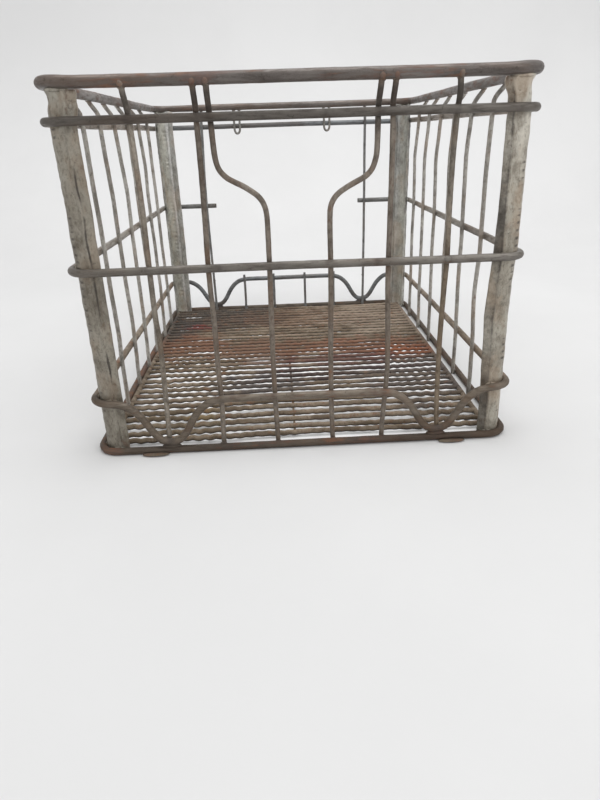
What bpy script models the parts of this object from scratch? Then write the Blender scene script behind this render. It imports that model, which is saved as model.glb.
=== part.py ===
"""Wire milk bottle crate: a welded steel crate with four pressed corner posts.

Frame: +Z up, +Y to the back, the hand opening faces -Y. The origin lies on the
base plane, in the middle of the crate. All lengths are in metres.
"""

import math

import bmesh
import bpy
from mathutils import Vector

for old in list(bpy.data.objects):
    bpy.data.objects.remove(old, do_unlink=True)

# ---- driving dimensions -----------------------------------------------------
WIDTH = 0.3360  # across the crate, between the centre lines of the side runs
DEPTH = 0.4194  # front to back, between centre lines
HALF_WIDTH = WIDTH / 2
HALF_DEPTH = DEPTH / 2
GAP = 0.0003  # left between neighbouring pieces at each weld

# hoops: diameters, corner bend radii and heights, all on the centre lines
RIM_D = 0.0080
RING_D = 0.0060
RIM_BEND = 0.0205
RING_BEND = 0.0155
BEND_STEPS = 5  # segments round each corner
RIM_Z = 0.2729
UPPER_Z = 0.2500
MIDDLE_Z = 0.1499
WAVY_Z = 0.0457
BOTTOM_Z = RING_D / 2  # the bottom hoop rests on the base plane
STUB_X = 0.1000  # where the middle hoop stops at the back

# the dips of the wavy hoop, two at the front and two at the back
DIP_X = 0.1075
DIP_HALF = 0.0400
DIP_DEPTH = 0.0361
DIP_STEPS = 12

# planes just inside the hoops, against which the posts and wires stand
SEAT_X = HALF_WIDTH - RING_D / 2 - GAP
SEAT_Y = HALF_DEPTH - RING_D / 2 - GAP

# corner posts
FLANGE = 0.0198
SHEET = 0.0022
POST_BEND = 0.0108  # outer radius of the fold
POST_BEND_STEPS = 4
BEAD_AT = 0.0135  # the bead's middle, measured from the post's outer corner
BEAD_W = 0.0034
BEAD_H = 0.0006
POST_FLARE = 0.0042  # how far the tops lean out, forwards or backwards, under the rim
POST_SPREAD = 0.0012  # and sideways
POST_FOOT = 0.0006
NECK_Z = 0.2555
POST_TOP = RIM_Z - RIM_D / 2 - 0.0008
POST_LEVELS = (  # height, share of the full lean
    (POST_FOOT, 0.0),
    (NECK_Z, 0.0),
    (NECK_Z + 0.0050, 0.55),
    (POST_TOP, 1.0),
)

# upright wires: they stand inside the hoops and lean out to meet the rim
FRONT_WIRE_D = 0.0040
SIDE_WIRE_D = 0.0038
REAR_WIRE_D = 0.0034
FRONT_WIRE_Y = SEAT_Y - FRONT_WIRE_D / 2
SIDE_WIRE_X = SEAT_X - SIDE_WIRE_D / 2
REAR_WIRE_Y = SEAT_Y - REAR_WIRE_D / 2
WIRE_FOOT = 0.0012
WIRE_TOP = RIM_Z - RIM_D / 2 - 0.0021
LEAN_START_Z = UPPER_Z + RING_D / 2 + 0.0020
LEAN_KNEE_Z = UPPER_Z + RING_D / 2 + 0.0065
LEAN_KNEE_SHARE = 0.35  # share of the lean reached at the knee

OUTER_WIRE_X = 0.1085
MID_WIRE_X = 0.0650
SIDE_WIRES_Y = {  # from the front; the two sides are spaced differently
    "left": (-0.1225, -0.0695, -0.0165, 0.0315, 0.0870, 0.1330),
    "right": (-0.1205, -0.0665, -0.0120, 0.0400, 0.0930, 0.1450),
}
REAR_WIRE_X = 0.1070
SHORT_WIRES_X = (-0.0650, -0.0228, 0.0222, 0.0640)
SHORT_TOP = WAVY_Z + 0.0062

# the two wires beside the hand opening
HAND_TOP_X = 0.0565
HAND_LOW_X = 0.0225
HAND_JOG_Z = 0.2058  # middle of the sideways jog
HAND_BEND = 0.0135
HAND_BEND_STEPS = 5
HAND_SLOPE = math.radians(61.0)  # from upright, of the jog's straight

# hairpins between the rim and the upper hoop, at the back
STRUT_D = 0.0030
STRUTS_X = {"left": -0.0610, "right": 0.0570}
STRUT_HALF = 0.0034  # radius of the turn at the bottom
STRUT_TURN_Z = 0.2445  # centre of that turn
STRUT_Y = SEAT_Y - STRUT_D / 2
STRUT_LEG = (  # distance from the hairpin's middle, y, z, from the rim downwards
    (STRUT_HALF + 0.0006, HALF_DEPTH, WIRE_TOP),
    (STRUT_HALF + 0.0004, STRUT_Y + 0.0014, UPPER_Z + 0.0095),
    (STRUT_HALF + 0.0002, STRUT_Y, UPPER_Z + 0.0050),
    (STRUT_HALF, STRUT_Y, STRUT_TURN_Z),
)

# floor mat
MAT_WIRES = 33
MAT_WIRE_D = 0.0034
MAT_WIRE_SIDES = 6
MAT_WIRE_INSET = 0.0003  # from an edge rod's centre line to the wire's end
MAT_Z = 0.0043
MAT_FRONT_Y = -0.1976  # ends of the span that the wires share out
MAT_BACK_Y = 0.2007
MAT_SPREAD = 0.0122  # the wires stand a little closer together towards the back
MAT_SKEW = 0.72  # moves the greatest shift off the middle of the span
MAT_LEFT_X = -0.1581
MAT_RIGHT_X = 0.1563
MAT_EDGE_D = 0.0048
MAT_EDGE_Z = 0.0030
MAT_END_Y = 0.1955
MAT_TIE_X = -0.0070
MAT_TIE_D = 0.0024
MAT_TIE_SIDES = 4
MAT_TIE_Z = MAT_Z - 0.0024
MAT_TIE_OVERHANG = 0.0020  # past the first and last wires

# stacking lugs
LUG_X = 0.1210
LUG_HALF = 0.0110
LUG_OUT = 0.0032
LUG_EDGE = 0.0006  # how far the lug stands out at its two ends
LUG_TOP_SHARE = 0.75  # how far the top stands out, as a share of the foot
LUG_FOOT = 0.0002
LUG_TOP = 0.0022
LUG_STEPS = 8

ROD_SIDES = 8
SMOOTH_ANGLE = math.radians(50)
X_AXIS = Vector((1, 0, 0))
Y_AXIS = Vector((0, 1, 0))
Z_AXIS = Vector((0, 0, 1))
SIDES = (("left", -1), ("right", 1))


# ---- materials --------------------------------------------------------------
def steel(name, colour, roughness, metallic):
    material = bpy.data.materials.new(name)
    material.use_nodes = True
    shader = material.node_tree.nodes["Principled BSDF"]
    shader.inputs["Base Color"].default_value = (*colour, 1.0)
    shader.inputs["Roughness"].default_value = roughness
    shader.inputs["Metallic"].default_value = metallic
    material.diffuse_color = (*colour, 1.0)
    return material


rim_steel = steel("rim_steel", colour=(0.235, 0.212, 0.188), roughness=0.62, metallic=0.45)
hoop_steel = steel("hoop_steel", colour=(0.205, 0.178, 0.150), roughness=0.66, metallic=0.40)
post_steel = steel("post_steel", colour=(0.300, 0.275, 0.232), roughness=0.60, metallic=0.45)
wire_steel = steel("wire_steel", colour=(0.190, 0.165, 0.138), roughness=0.68, metallic=0.38)
rear_steel = steel("rear_steel", colour=(0.185, 0.180, 0.168), roughness=0.64, metallic=0.42)
floor_steel = steel("floor_steel", colour=(0.200, 0.120, 0.075), roughness=0.78, metallic=0.25)
lug_steel = steel("lug_steel", colour=(0.215, 0.170, 0.128), roughness=0.75, metallic=0.30)


# ---- mesh helpers -----------------------------------------------------------
crate = bpy.data.objects.new("crate", None)
bpy.context.scene.collection.objects.link(crate)


def add(name, bm, material):
    """Turns the bmesh into an object under the crate."""
    mesh = bpy.data.meshes.new(name)
    bmesh.ops.recalc_face_normals(bm, faces=bm.faces)
    bm.to_mesh(mesh)
    bm.free()
    mesh.shade_smooth()
    mesh.set_sharp_from_angle(angle=SMOOTH_ANGLE)
    mesh.materials.append(material)
    obj = bpy.data.objects.new(name, mesh)
    bpy.context.scene.collection.objects.link(obj)
    obj.parent = crate
    return obj


def skin(bm, rings):
    """Joins each ring of vertices to the next with quads."""
    for one, two in zip(rings, rings[1:]):
        count = len(one)
        for k in range(count):
            after = (k + 1) % count
            bm.faces.new((one[k], one[after], two[after], two[k]))


def rod_section(diameter, sides):
    """A regular polygon, measured across its flats, with a flat facing its first axis."""
    radius = diameter / 2 / math.cos(math.pi / sides)
    angles = [2 * math.pi * (i + 0.5) / sides for i in range(sides)]
    return [(radius * math.cos(angle), radius * math.sin(angle)) for angle in angles]


def rod(name, points, diameter, material, across=None, sides=ROD_SIDES, closed=False):
    """Runs a rod along points.

    across is the section's fixed side direction. Without it the side direction
    stays level, as suits a hoop.
    """
    points = [Vector(point) for point in points]
    following = points[1:] + points[:1] if closed else points[1:]
    runs = [(after - point).normalized() for point, after in zip(points, following)]
    outline = rod_section(diameter, sides)
    bm = bmesh.new()
    rings = []
    for i, point in enumerate(points):
        # an open rod's end has one run only, which stands for both
        arriving = runs[i - 1] if i or closed else runs[0]
        leaving = runs[min(i, len(runs) - 1)]
        along = (arriving + leaving).normalized()
        side = Z_AXIS.cross(along) if across is None else across
        side = (side - side.dot(along) * along).normalized()
        up = along.cross(side)
        bend = leaving - arriving
        ring = []
        for u, v in outline:
            offset = u * side + v * up
            # a mitre keeps the rod's thickness through a bend
            if bend.length > 1e-6:
                axis = bend.normalized()
                offset += axis * offset.dot(axis) * (1 / arriving.dot(along) - 1)
            ring.append(bm.verts.new(point + offset))
        rings.append(ring)
    skin(bm, rings + rings[:1] if closed else rings)
    if not closed:
        bm.faces.new(rings[0][::-1])
        bm.faces.new(rings[-1])
    return add(name, bm, material)


# ---- hoops ------------------------------------------------------------------
def corner_arc(centre_x, centre_y, radius, start):
    """A quarter turn, counter-clockwise from the start angle in degrees."""
    angles = [math.radians(start + 90 * i / BEND_STEPS) for i in range(BEND_STEPS + 1)]
    return [
        (centre_x + radius * math.cos(angle), centre_y + radius * math.sin(angle))
        for angle in angles
    ]


def hoop_corners(radius, z):
    """The four corners of a hoop, from the front left one, counter-clockwise from above."""
    x, y = HALF_WIDTH - radius, HALF_DEPTH - radius
    arcs = (
        corner_arc(-x, -y, radius, 180),
        corner_arc(x, -y, radius, 270),
        corner_arc(x, y, radius, 0),
        corner_arc(-x, y, radius, 90),
    )
    return [[(px, py, z) for px, py in arc] for arc in arcs]


def closed_hoop(name, z, diameter, material, bend):
    points = sum(hoop_corners(bend, z), [])
    rod(name, points, diameter, material, closed=True)


def middle_ring():
    """A hoop round the front and sides that stops a little way across the back."""
    front_left, front_right, rear_right, rear_left = hoop_corners(RING_BEND, MIDDLE_Z)
    points = [(-STUB_X, HALF_DEPTH, MIDDLE_Z)]
    points += rear_left + front_left + front_right + rear_right
    points += [(STUB_X, HALF_DEPTH, MIDDLE_Z)]
    rod("middle_ring", points, RING_D, hoop_steel)


def wavy_ring():
    """A closed hoop with two cosine dips at the front and two at the back."""
    dips = []
    for centre in (-DIP_X, DIP_X):
        for i in range(DIP_STEPS + 1):
            offset = DIP_HALF * (2 * i / DIP_STEPS - 1)
            drop = DIP_DEPTH * 0.5 * (1 + math.cos(math.pi * offset / DIP_HALF))
            dips.append((centre + offset, WAVY_Z - drop))
    front = [(x, -HALF_DEPTH, z) for x, z in dips]
    back = [(x, HALF_DEPTH, z) for x, z in reversed(dips)]
    front_left, front_right, rear_right, rear_left = hoop_corners(RING_BEND, WAVY_Z)
    points = front_left + front + front_right + rear_right + back + rear_left
    rod("wavy_ring", points, RING_D, hoop_steel, closed=True)


# ---- corner posts -----------------------------------------------------------
def post_section():
    """The post's L-shaped section, its outer corner at the origin, flanges along -X and +Y.

    Returns the outer and inner lines, both from the end of the -X flange.
    """
    # distance from the corner and outward rise, towards the corner
    bead = ((BEAD_AT + BEAD_W / 2, 0.0), (BEAD_AT, BEAD_H), (BEAD_AT - BEAD_W / 2, 0.0))
    outer = [(-FLANGE, 0.0)]
    inner = [(-FLANGE, SHEET)]
    for at, rise in bead:
        outer.append((-at, -rise))
        inner.append((-at, SHEET - rise))
    for i in range(POST_BEND_STEPS + 1):
        angle = math.radians(-90 + 90 * i / POST_BEND_STEPS)
        for line, radius in ((outer, POST_BEND), (inner, POST_BEND - SHEET)):
            x = -POST_BEND + radius * math.cos(angle)
            y = POST_BEND + radius * math.sin(angle)
            line.append((x, y))
    for at, rise in reversed(bead):
        outer.append((rise, at))
        inner.append((rise - SHEET, at))
    outer.append((0.0, FLANGE))
    inner.append((-SHEET, FLANGE))
    return outer, inner


def corner_post(name, side, back):
    """side is -1 at the left and 1 at the right, back is -1 at the front and 1 at the back."""
    outer, inner = post_section()
    outline = outer + inner[::-1]
    bm = bmesh.new()
    rows = []
    for z, lean in POST_LEVELS:
        # the beads, not the flat faces, reach the seat planes
        corner_x = SEAT_X - BEAD_H + lean * POST_SPREAD
        corner_y = SEAT_Y - BEAD_H + lean * POST_FLARE
        rows.append(
            [bm.verts.new(((corner_x + x) * side, (corner_y - y) * back, z)) for x, y in outline]
        )
    skin(bm, rows)
    # the ends are closed with quads across the sheet's thickness
    last = len(outline) - 1
    for row in (rows[0], rows[-1]):
        for k in range(len(outer) - 1):
            bm.faces.new((row[k], row[k + 1], row[last - 1 - k], row[last - k]))
    add(name, bm, post_steel)


def corner_posts():
    for end, back in (("front", -1), ("rear", 1)):
        for word, side in SIDES:
            corner_post(f"corner_post_{end}_{word}", side, back)


# ---- upright wires ----------------------------------------------------------
def leaning_head(inside, rim_line):
    """Outward distance and height of a wire from the upper hoop up to the rim."""
    return [
        (inside, LEAN_START_Z),
        (inside + LEAN_KNEE_SHARE * (rim_line - inside), LEAN_KNEE_Z),
        (rim_line, WIRE_TOP),
    ]


def leaning_wire(inside, rim_line):
    return [(inside, WIRE_FOOT)] + leaning_head(inside, rim_line)


def front_wire(name, x):
    points = [(x, -out, z) for out, z in leaning_wire(FRONT_WIRE_Y, HALF_DEPTH)]
    rod(name, points, FRONT_WIRE_D, wire_steel, across=X_AXIS)


def hand_wire(name, side):
    """A wire that jogs inwards under the hand opening."""
    bend_width = HAND_BEND * (1 - math.cos(HAND_SLOPE))
    # the straight between the two bends is tangent to both
    straight = (HAND_TOP_X - HAND_LOW_X) - 2 * bend_width
    half = HAND_BEND * math.sin(HAND_SLOPE) + straight / math.tan(HAND_SLOPE) / 2
    angles = [HAND_SLOPE * i / HAND_BEND_STEPS for i in range(HAND_BEND_STEPS + 1)]
    arc = [(HAND_BEND * (1 - math.cos(a)), HAND_BEND * math.sin(a)) for a in angles]
    profile = [(HAND_LOW_X, WIRE_FOOT)]
    profile += [(HAND_LOW_X + x, HAND_JOG_Z - half + z) for x, z in arc]
    # the upper bend mirrors the lower one about the middle of the jog
    profile += [(HAND_TOP_X - x, HAND_JOG_Z + half - z) for x, z in reversed(arc)]
    points = [(side * x, -FRONT_WIRE_Y, z) for x, z in profile]
    head = leaning_head(FRONT_WIRE_Y, HALF_DEPTH)
    points += [(side * HAND_TOP_X, -out, z) for out, z in head]
    rod(name, points, FRONT_WIRE_D, wire_steel, across=X_AXIS)


def front_wires():
    for word, side in SIDES:
        front_wire(f"front_wire_outer_{word}", side * OUTER_WIRE_X)
        front_wire(f"front_wire_mid_{word}", side * MID_WIRE_X)
        hand_wire(f"hand_wire_{word}", side)


def side_wires():
    profile = leaning_wire(SIDE_WIRE_X, HALF_WIDTH)
    for word, side in SIDES:
        for i, y in enumerate(SIDE_WIRES_Y[word], start=1):
            points = [(side * out, y, z) for out, z in profile]
            rod(f"side_wire_{word}_{i}", points, SIDE_WIRE_D, wire_steel, across=Y_AXIS)


def rear_wires():
    """Two full-height wires, and short ones that end just above the wavy hoop's level."""
    profile = leaning_wire(REAR_WIRE_Y, HALF_DEPTH)
    for word, side in SIDES:
        points = [(side * REAR_WIRE_X, out, z) for out, z in profile]
        rod(f"rear_wire_{word}", points, REAR_WIRE_D, rear_steel, across=X_AXIS)
    for i, x in enumerate(SHORT_WIRES_X, start=1):
        points = [(x, REAR_WIRE_Y, WIRE_FOOT), (x, REAR_WIRE_Y, SHORT_TOP)]
        rod(f"rear_short_wire_{i}", points, REAR_WIRE_D, rear_steel, across=X_AXIS)


def rim_strut(name, middle_x):
    """A hairpin that ties the rim to the upper hoop at the back."""
    points = [(middle_x + x, y, z) for x, y, z in STRUT_LEG]
    for degrees in range(30, 180, 30):
        angle = math.radians(degrees)
        x = middle_x + STRUT_HALF * math.cos(angle)
        points.append((x, STRUT_Y, STRUT_TURN_Z - STRUT_HALF * math.sin(angle)))
    points += [(middle_x - x, y, z) for x, y, z in reversed(STRUT_LEG)]
    rod(name, points, STRUT_D, rear_steel, across=Y_AXIS)


# ---- floor mat --------------------------------------------------------------
def mat_wire_y(k):
    """Where the k-th floor wire lies, counted from 0 at the front."""
    share = (k + 0.5) / MAT_WIRES
    even = MAT_FRONT_Y + (MAT_BACK_Y - MAT_FRONT_Y) * share
    return even + MAT_SPREAD * math.sin(math.pi * share**MAT_SKEW)


def mat_edge(name, x):
    points = [(x, -MAT_END_Y, MAT_EDGE_Z), (x, MAT_END_Y, MAT_EDGE_Z)]
    return rod(name, points, MAT_EDGE_D, floor_steel, across=X_AXIS)


def mat_tie():
    """The thin rod that runs front to back under the wires."""
    front = mat_wire_y(0) - MAT_TIE_OVERHANG
    back = mat_wire_y(MAT_WIRES - 1) + MAT_TIE_OVERHANG
    points = [(MAT_TIE_X, front, MAT_TIE_Z), (MAT_TIE_X, back, MAT_TIE_Z)]
    return rod("mat_tie", points, MAT_TIE_D, floor_steel, across=X_AXIS, sides=MAT_TIE_SIDES)


def mat_wire(k):
    y = mat_wire_y(k)
    left, right = MAT_LEFT_X + MAT_WIRE_INSET, MAT_RIGHT_X - MAT_WIRE_INSET
    points = [(left, y, MAT_Z), (right, y, MAT_Z)]
    return rod(
        f"mat_wire_{k}", points, MAT_WIRE_D, floor_steel, across=Y_AXIS, sides=MAT_WIRE_SIDES
    )


def weld(base, pieces):
    """Unions the pieces into base, then drops them."""
    group = bpy.data.collections.new(base.name + "_rods")
    for piece in pieces:
        group.objects.link(piece)
    union = base.modifiers.new("weld", "BOOLEAN")
    union.operation = "UNION"
    union.solver = "EXACT"
    union.operand_type = "COLLECTION"
    union.collection = group
    bpy.context.view_layer.update()
    evaluated = base.evaluated_get(bpy.context.evaluated_depsgraph_get())
    mesh = bpy.data.meshes.new_from_object(evaluated)
    base.modifiers.clear()
    base.data = mesh
    for piece in pieces:
        bpy.data.objects.remove(piece, do_unlink=True)
    bpy.data.collections.remove(group)
    mesh.name = base.name


def floor_mat():
    left_edge = mat_edge("floor_mat", MAT_LEFT_X)
    pieces = [mat_edge("mat_edge", MAT_RIGHT_X), mat_tie()]
    pieces += [mat_wire(k) for k in range(MAT_WIRES)]
    weld(left_edge, pieces)


# ---- stacking lugs ----------------------------------------------------------
def stacking_lug(name, middle_x):
    """A short half-moon lug on the front of the bottom hoop, low down."""
    back_y = -(HALF_DEPTH + RING_D / 2 + GAP)
    left, right = middle_x - LUG_HALF, middle_x + LUG_HALF
    bm = bmesh.new()
    outlines = []
    for z, share in ((LUG_FOOT, 1.0), (LUG_TOP, LUG_TOP_SHARE)):
        points = [(left, back_y, z)]
        for i in range(LUG_STEPS + 1):
            across = 2 * i / LUG_STEPS - 1
            bulge = LUG_OUT * math.sqrt(1 - across * across) + LUG_EDGE
            points.append((middle_x + across * LUG_HALF, back_y - bulge * share, z))
        points.append((right, back_y, z))
        outlines.append([bm.verts.new(point) for point in points])
    lower, upper = outlines
    bm.faces.new(lower[::-1])
    bm.faces.new(upper)
    skin(bm, outlines)
    add(name, bm, lug_steel)


# ---- the crate --------------------------------------------------------------
closed_hoop("top_rim", RIM_Z, RIM_D, rim_steel, RIM_BEND)
closed_hoop("upper_ring", UPPER_Z, RING_D, hoop_steel, RING_BEND)
closed_hoop("bottom_ring", BOTTOM_Z, RING_D, hoop_steel, RING_BEND)
middle_ring()
wavy_ring()
corner_posts()
front_wires()
side_wires()
rear_wires()
for word, strut_x in STRUTS_X.items():
    rim_strut(f"rim_strut_{word}", strut_x)
floor_mat()
for word, side in SIDES:
    stacking_lug(f"stacking_lug_{word}", side * LUG_X)
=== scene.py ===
"""Welded wire milk bottle crate: its looks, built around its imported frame.

Metres, +Z up, standing at z = 0 with its plan centred on the origin. x runs from left to
right, the front is at -y and the back at +y."""

import math

import bpy
from mathutils import Matrix, Vector, noise


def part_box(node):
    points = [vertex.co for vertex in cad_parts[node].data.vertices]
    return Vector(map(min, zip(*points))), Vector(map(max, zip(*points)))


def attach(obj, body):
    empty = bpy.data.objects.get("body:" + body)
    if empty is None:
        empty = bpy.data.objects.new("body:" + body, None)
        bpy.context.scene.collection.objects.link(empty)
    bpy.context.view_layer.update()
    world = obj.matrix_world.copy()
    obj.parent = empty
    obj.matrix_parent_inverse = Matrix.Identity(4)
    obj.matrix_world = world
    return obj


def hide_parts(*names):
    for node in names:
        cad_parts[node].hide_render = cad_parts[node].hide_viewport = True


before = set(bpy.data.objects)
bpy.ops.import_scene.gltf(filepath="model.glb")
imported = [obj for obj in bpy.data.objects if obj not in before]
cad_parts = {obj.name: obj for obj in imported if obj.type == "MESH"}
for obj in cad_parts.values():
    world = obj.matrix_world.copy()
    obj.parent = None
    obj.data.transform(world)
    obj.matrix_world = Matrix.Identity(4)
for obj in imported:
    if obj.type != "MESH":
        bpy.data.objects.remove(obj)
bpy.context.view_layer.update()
scene = bpy.context.scene


# ---- small helpers ----------------------------------------------------------
def wander(seed, at, period):
    """Smooth, repeatable unevenness between about -1 and 1."""
    return noise.noise(Vector((at / period, seed * 7.31 + 0.17, seed * 3.7)))


def knots(table, at):
    """A smooth curve through a table of (place, value) pairs, flat beyond its ends."""
    if at <= table[0][0]:
        return table[0][1]
    if at >= table[-1][0]:
        return table[-1][1]
    i = next(i for i in range(len(table) - 1) if at <= table[i + 1][0])
    (start, first), (end, last) = table[i], table[i + 1]
    span = end - start
    before = table[i - 1] if i else (start - span, first)
    after = table[i + 2] if i + 2 < len(table) else (end + span, last)
    slope_in = (last - before[1]) / (end - before[0]) * span
    slope_out = (after[1] - first) / (after[0] - start) * span
    t = (at - start) / span
    t2, t3 = t * t, t * t * t
    return (
        (2 * t3 - 3 * t2 + 1) * first
        + (t3 - 2 * t2 + t) * slope_in
        + (-2 * t3 + 3 * t2) * last
        + (t3 - t2) * slope_out
    )


def smooth(low, high, at):
    """Eases from 0 at low to 1 at high; low may be the larger."""
    t = max(0.0, min(1.0, (at - low) / (high - low)))
    return t * t * (3 - 2 * t)


def bell(offset, width):
    """1 at no offset, fading away over width."""
    return math.exp(-((offset / width) ** 2))


def spline(points, step):
    """Evenly spaced points on a smooth curve through points."""
    points = [Vector(p) for p in points]
    padded = [points[0] * 2 - points[1], *points, points[-1] * 2 - points[-2]]
    dense = []
    for i in range(1, len(padded) - 2):
        a, b, c, d = padded[i - 1 : i + 3]
        for k in range(24):
            t = k / 24
            square = (2 * a - 5 * b + 4 * c - d) * t * t
            cube = (3 * b - a - 3 * c + d) * t * t * t
            dense.append(0.5 * (2 * b + (c - a) * t + square + cube))
    dense.append(points[-1])
    out, carried = [dense[0]], 0.0
    for p, q in zip(dense, dense[1:]):
        carried += (q - p).length
        if carried >= step:
            out.append(q)
            carried = 0.0
    if (out[-1] - dense[-1]).length > step * 0.3:
        out.append(dense[-1])
    return out


def middle(node):
    low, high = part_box(node)
    return (low + high) / 2


def half_size(node, axis):
    low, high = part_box(node)
    return (high[axis] - low[axis]) / 2


# ---- bars and beads ---------------------------------------------------------
# extra rings at a bar's open ends: how far beyond the end in radii, share of the radius
END_RINGS = ((0.08, 0.50), (0.28, 0.80), (0.42, 0.95))


class Body:
    """Collects closed shells, with how rusty and how dark each point is."""

    def __init__(self):
        self.points, self.faces = [], []
        self.rust, self.dark = [], []

    def point(self, at, rust, dark):
        self.points.append(tuple(at))
        self.rust.append(rust)
        self.dark.append(dark)
        return len(self.points) - 1

    def rod(self, path, radius, across, wear, seed, sides=14, closed=False, ripple=0.05, reach=1.0):
        """A round bar along path.

        across gives its side direction from its run, wear gives (rust, dark) at a point,
        reach scales how far the end rings lie beyond the ends."""
        count = len(path)
        path = [Vector(p) for p in path]
        rings = []
        for i, p in enumerate(path):
            before = path[i - 1] if i or closed else p
            after = path[(i + 1) % count] if i < count - 1 or closed else p
            along = (after - before).normalized()
            side = across(along)
            side = (side - side.dot(along) * along).normalized()
            rings.append((p, along, side, along.cross(side), 1.0))
        if not closed:
            first, last = rings[0], rings[-1]
            head = [
                (first[0] - first[1] * radius * beyond * reach, *first[1:4], share)
                for beyond, share in END_RINGS
            ]
            tail = [
                (last[0] + last[1] * radius * beyond * reach, *last[1:4], share)
                for beyond, share in reversed(END_RINGS)
            ]
            rings = head + rings + tail
        made = []
        for p, _along, side, up, share in rings:
            rust, dark = wear(p)
            ring = []
            for k in range(sides):
                turn = 2 * math.pi * k / sides
                out = side * math.cos(turn) + up * math.sin(turn)
                at = p + out * radius
                lump = 1 + ripple * noise.noise(at * 160 + Vector((seed, 0, 0)))
                lump += 0.5 * ripple * noise.noise(at * 620 + Vector((0, seed, 0)))
                ring.append(self.point(p + out * radius * share * lump, rust, dark))
            made.append(ring)
        for i in range(len(made) if closed else len(made) - 1):
            one, two = made[i], made[(i + 1) % len(made)]
            for k in range(sides):
                m = (k + 1) % sides
                self.faces.append((one[k], one[m], two[m], two[k]))
        if not closed:
            self.faces.append(tuple(reversed(made[0])))
            self.faces.append(tuple(made[-1]))

    def weld(self, at, size, seed, rust=0.7, dark=0.6):
        """A lumpy bead of weld metal, size giving its three half sizes."""
        rows, around = 7, 12
        at = Vector(at)
        made = []
        for i in range(rows + 1):
            tilt = math.pi * i / rows
            ring = []
            for k in range(around if 0 < i < rows else 1):
                turn = 2 * math.pi * k / around
                flat = math.sin(tilt)
                out = Vector((flat * math.cos(turn), flat * math.sin(turn), math.cos(tilt)))
                lump = 1 + 0.16 * noise.noise(out * 2.1 + Vector((seed, seed * 0.7, 0)))
                offset = Vector((out.x * size[0], out.y * size[1], out.z * size[2]))
                ring.append(self.point(at + offset * lump, rust, dark))
            made.append(ring)
        for one, two in zip(made, made[1:]):
            for k in range(around):
                m = (k + 1) % around
                if len(one) == 1:
                    self.faces.append((one[0], two[k], two[m]))
                elif len(two) == 1:
                    self.faces.append((one[k], two[0], one[m]))
                else:
                    self.faces.append((one[k], two[k], two[m], one[m]))

    def piece(self, name, material, node, slot):
        mesh = bpy.data.meshes.new(name)
        mesh.from_pydata(self.points, [], self.faces)
        mesh.validate()
        for label, values in (("rusty", self.rust), ("dark", self.dark)):
            mesh.attributes.new(label, "FLOAT", "POINT").data.foreach_set("value", values)
        mesh.shade_smooth()
        mesh.materials.append(material)
        obj = bpy.data.objects.new(name, mesh)
        scene.collection.objects.link(obj)
        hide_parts(node)
        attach(obj, "root")


def level(along):
    return Vector((0, 0, 1)).cross(along)


def along_x(_along):
    return Vector((1, 0, 0))


def along_y(_along):
    return Vector((0, 1, 0))


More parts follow.
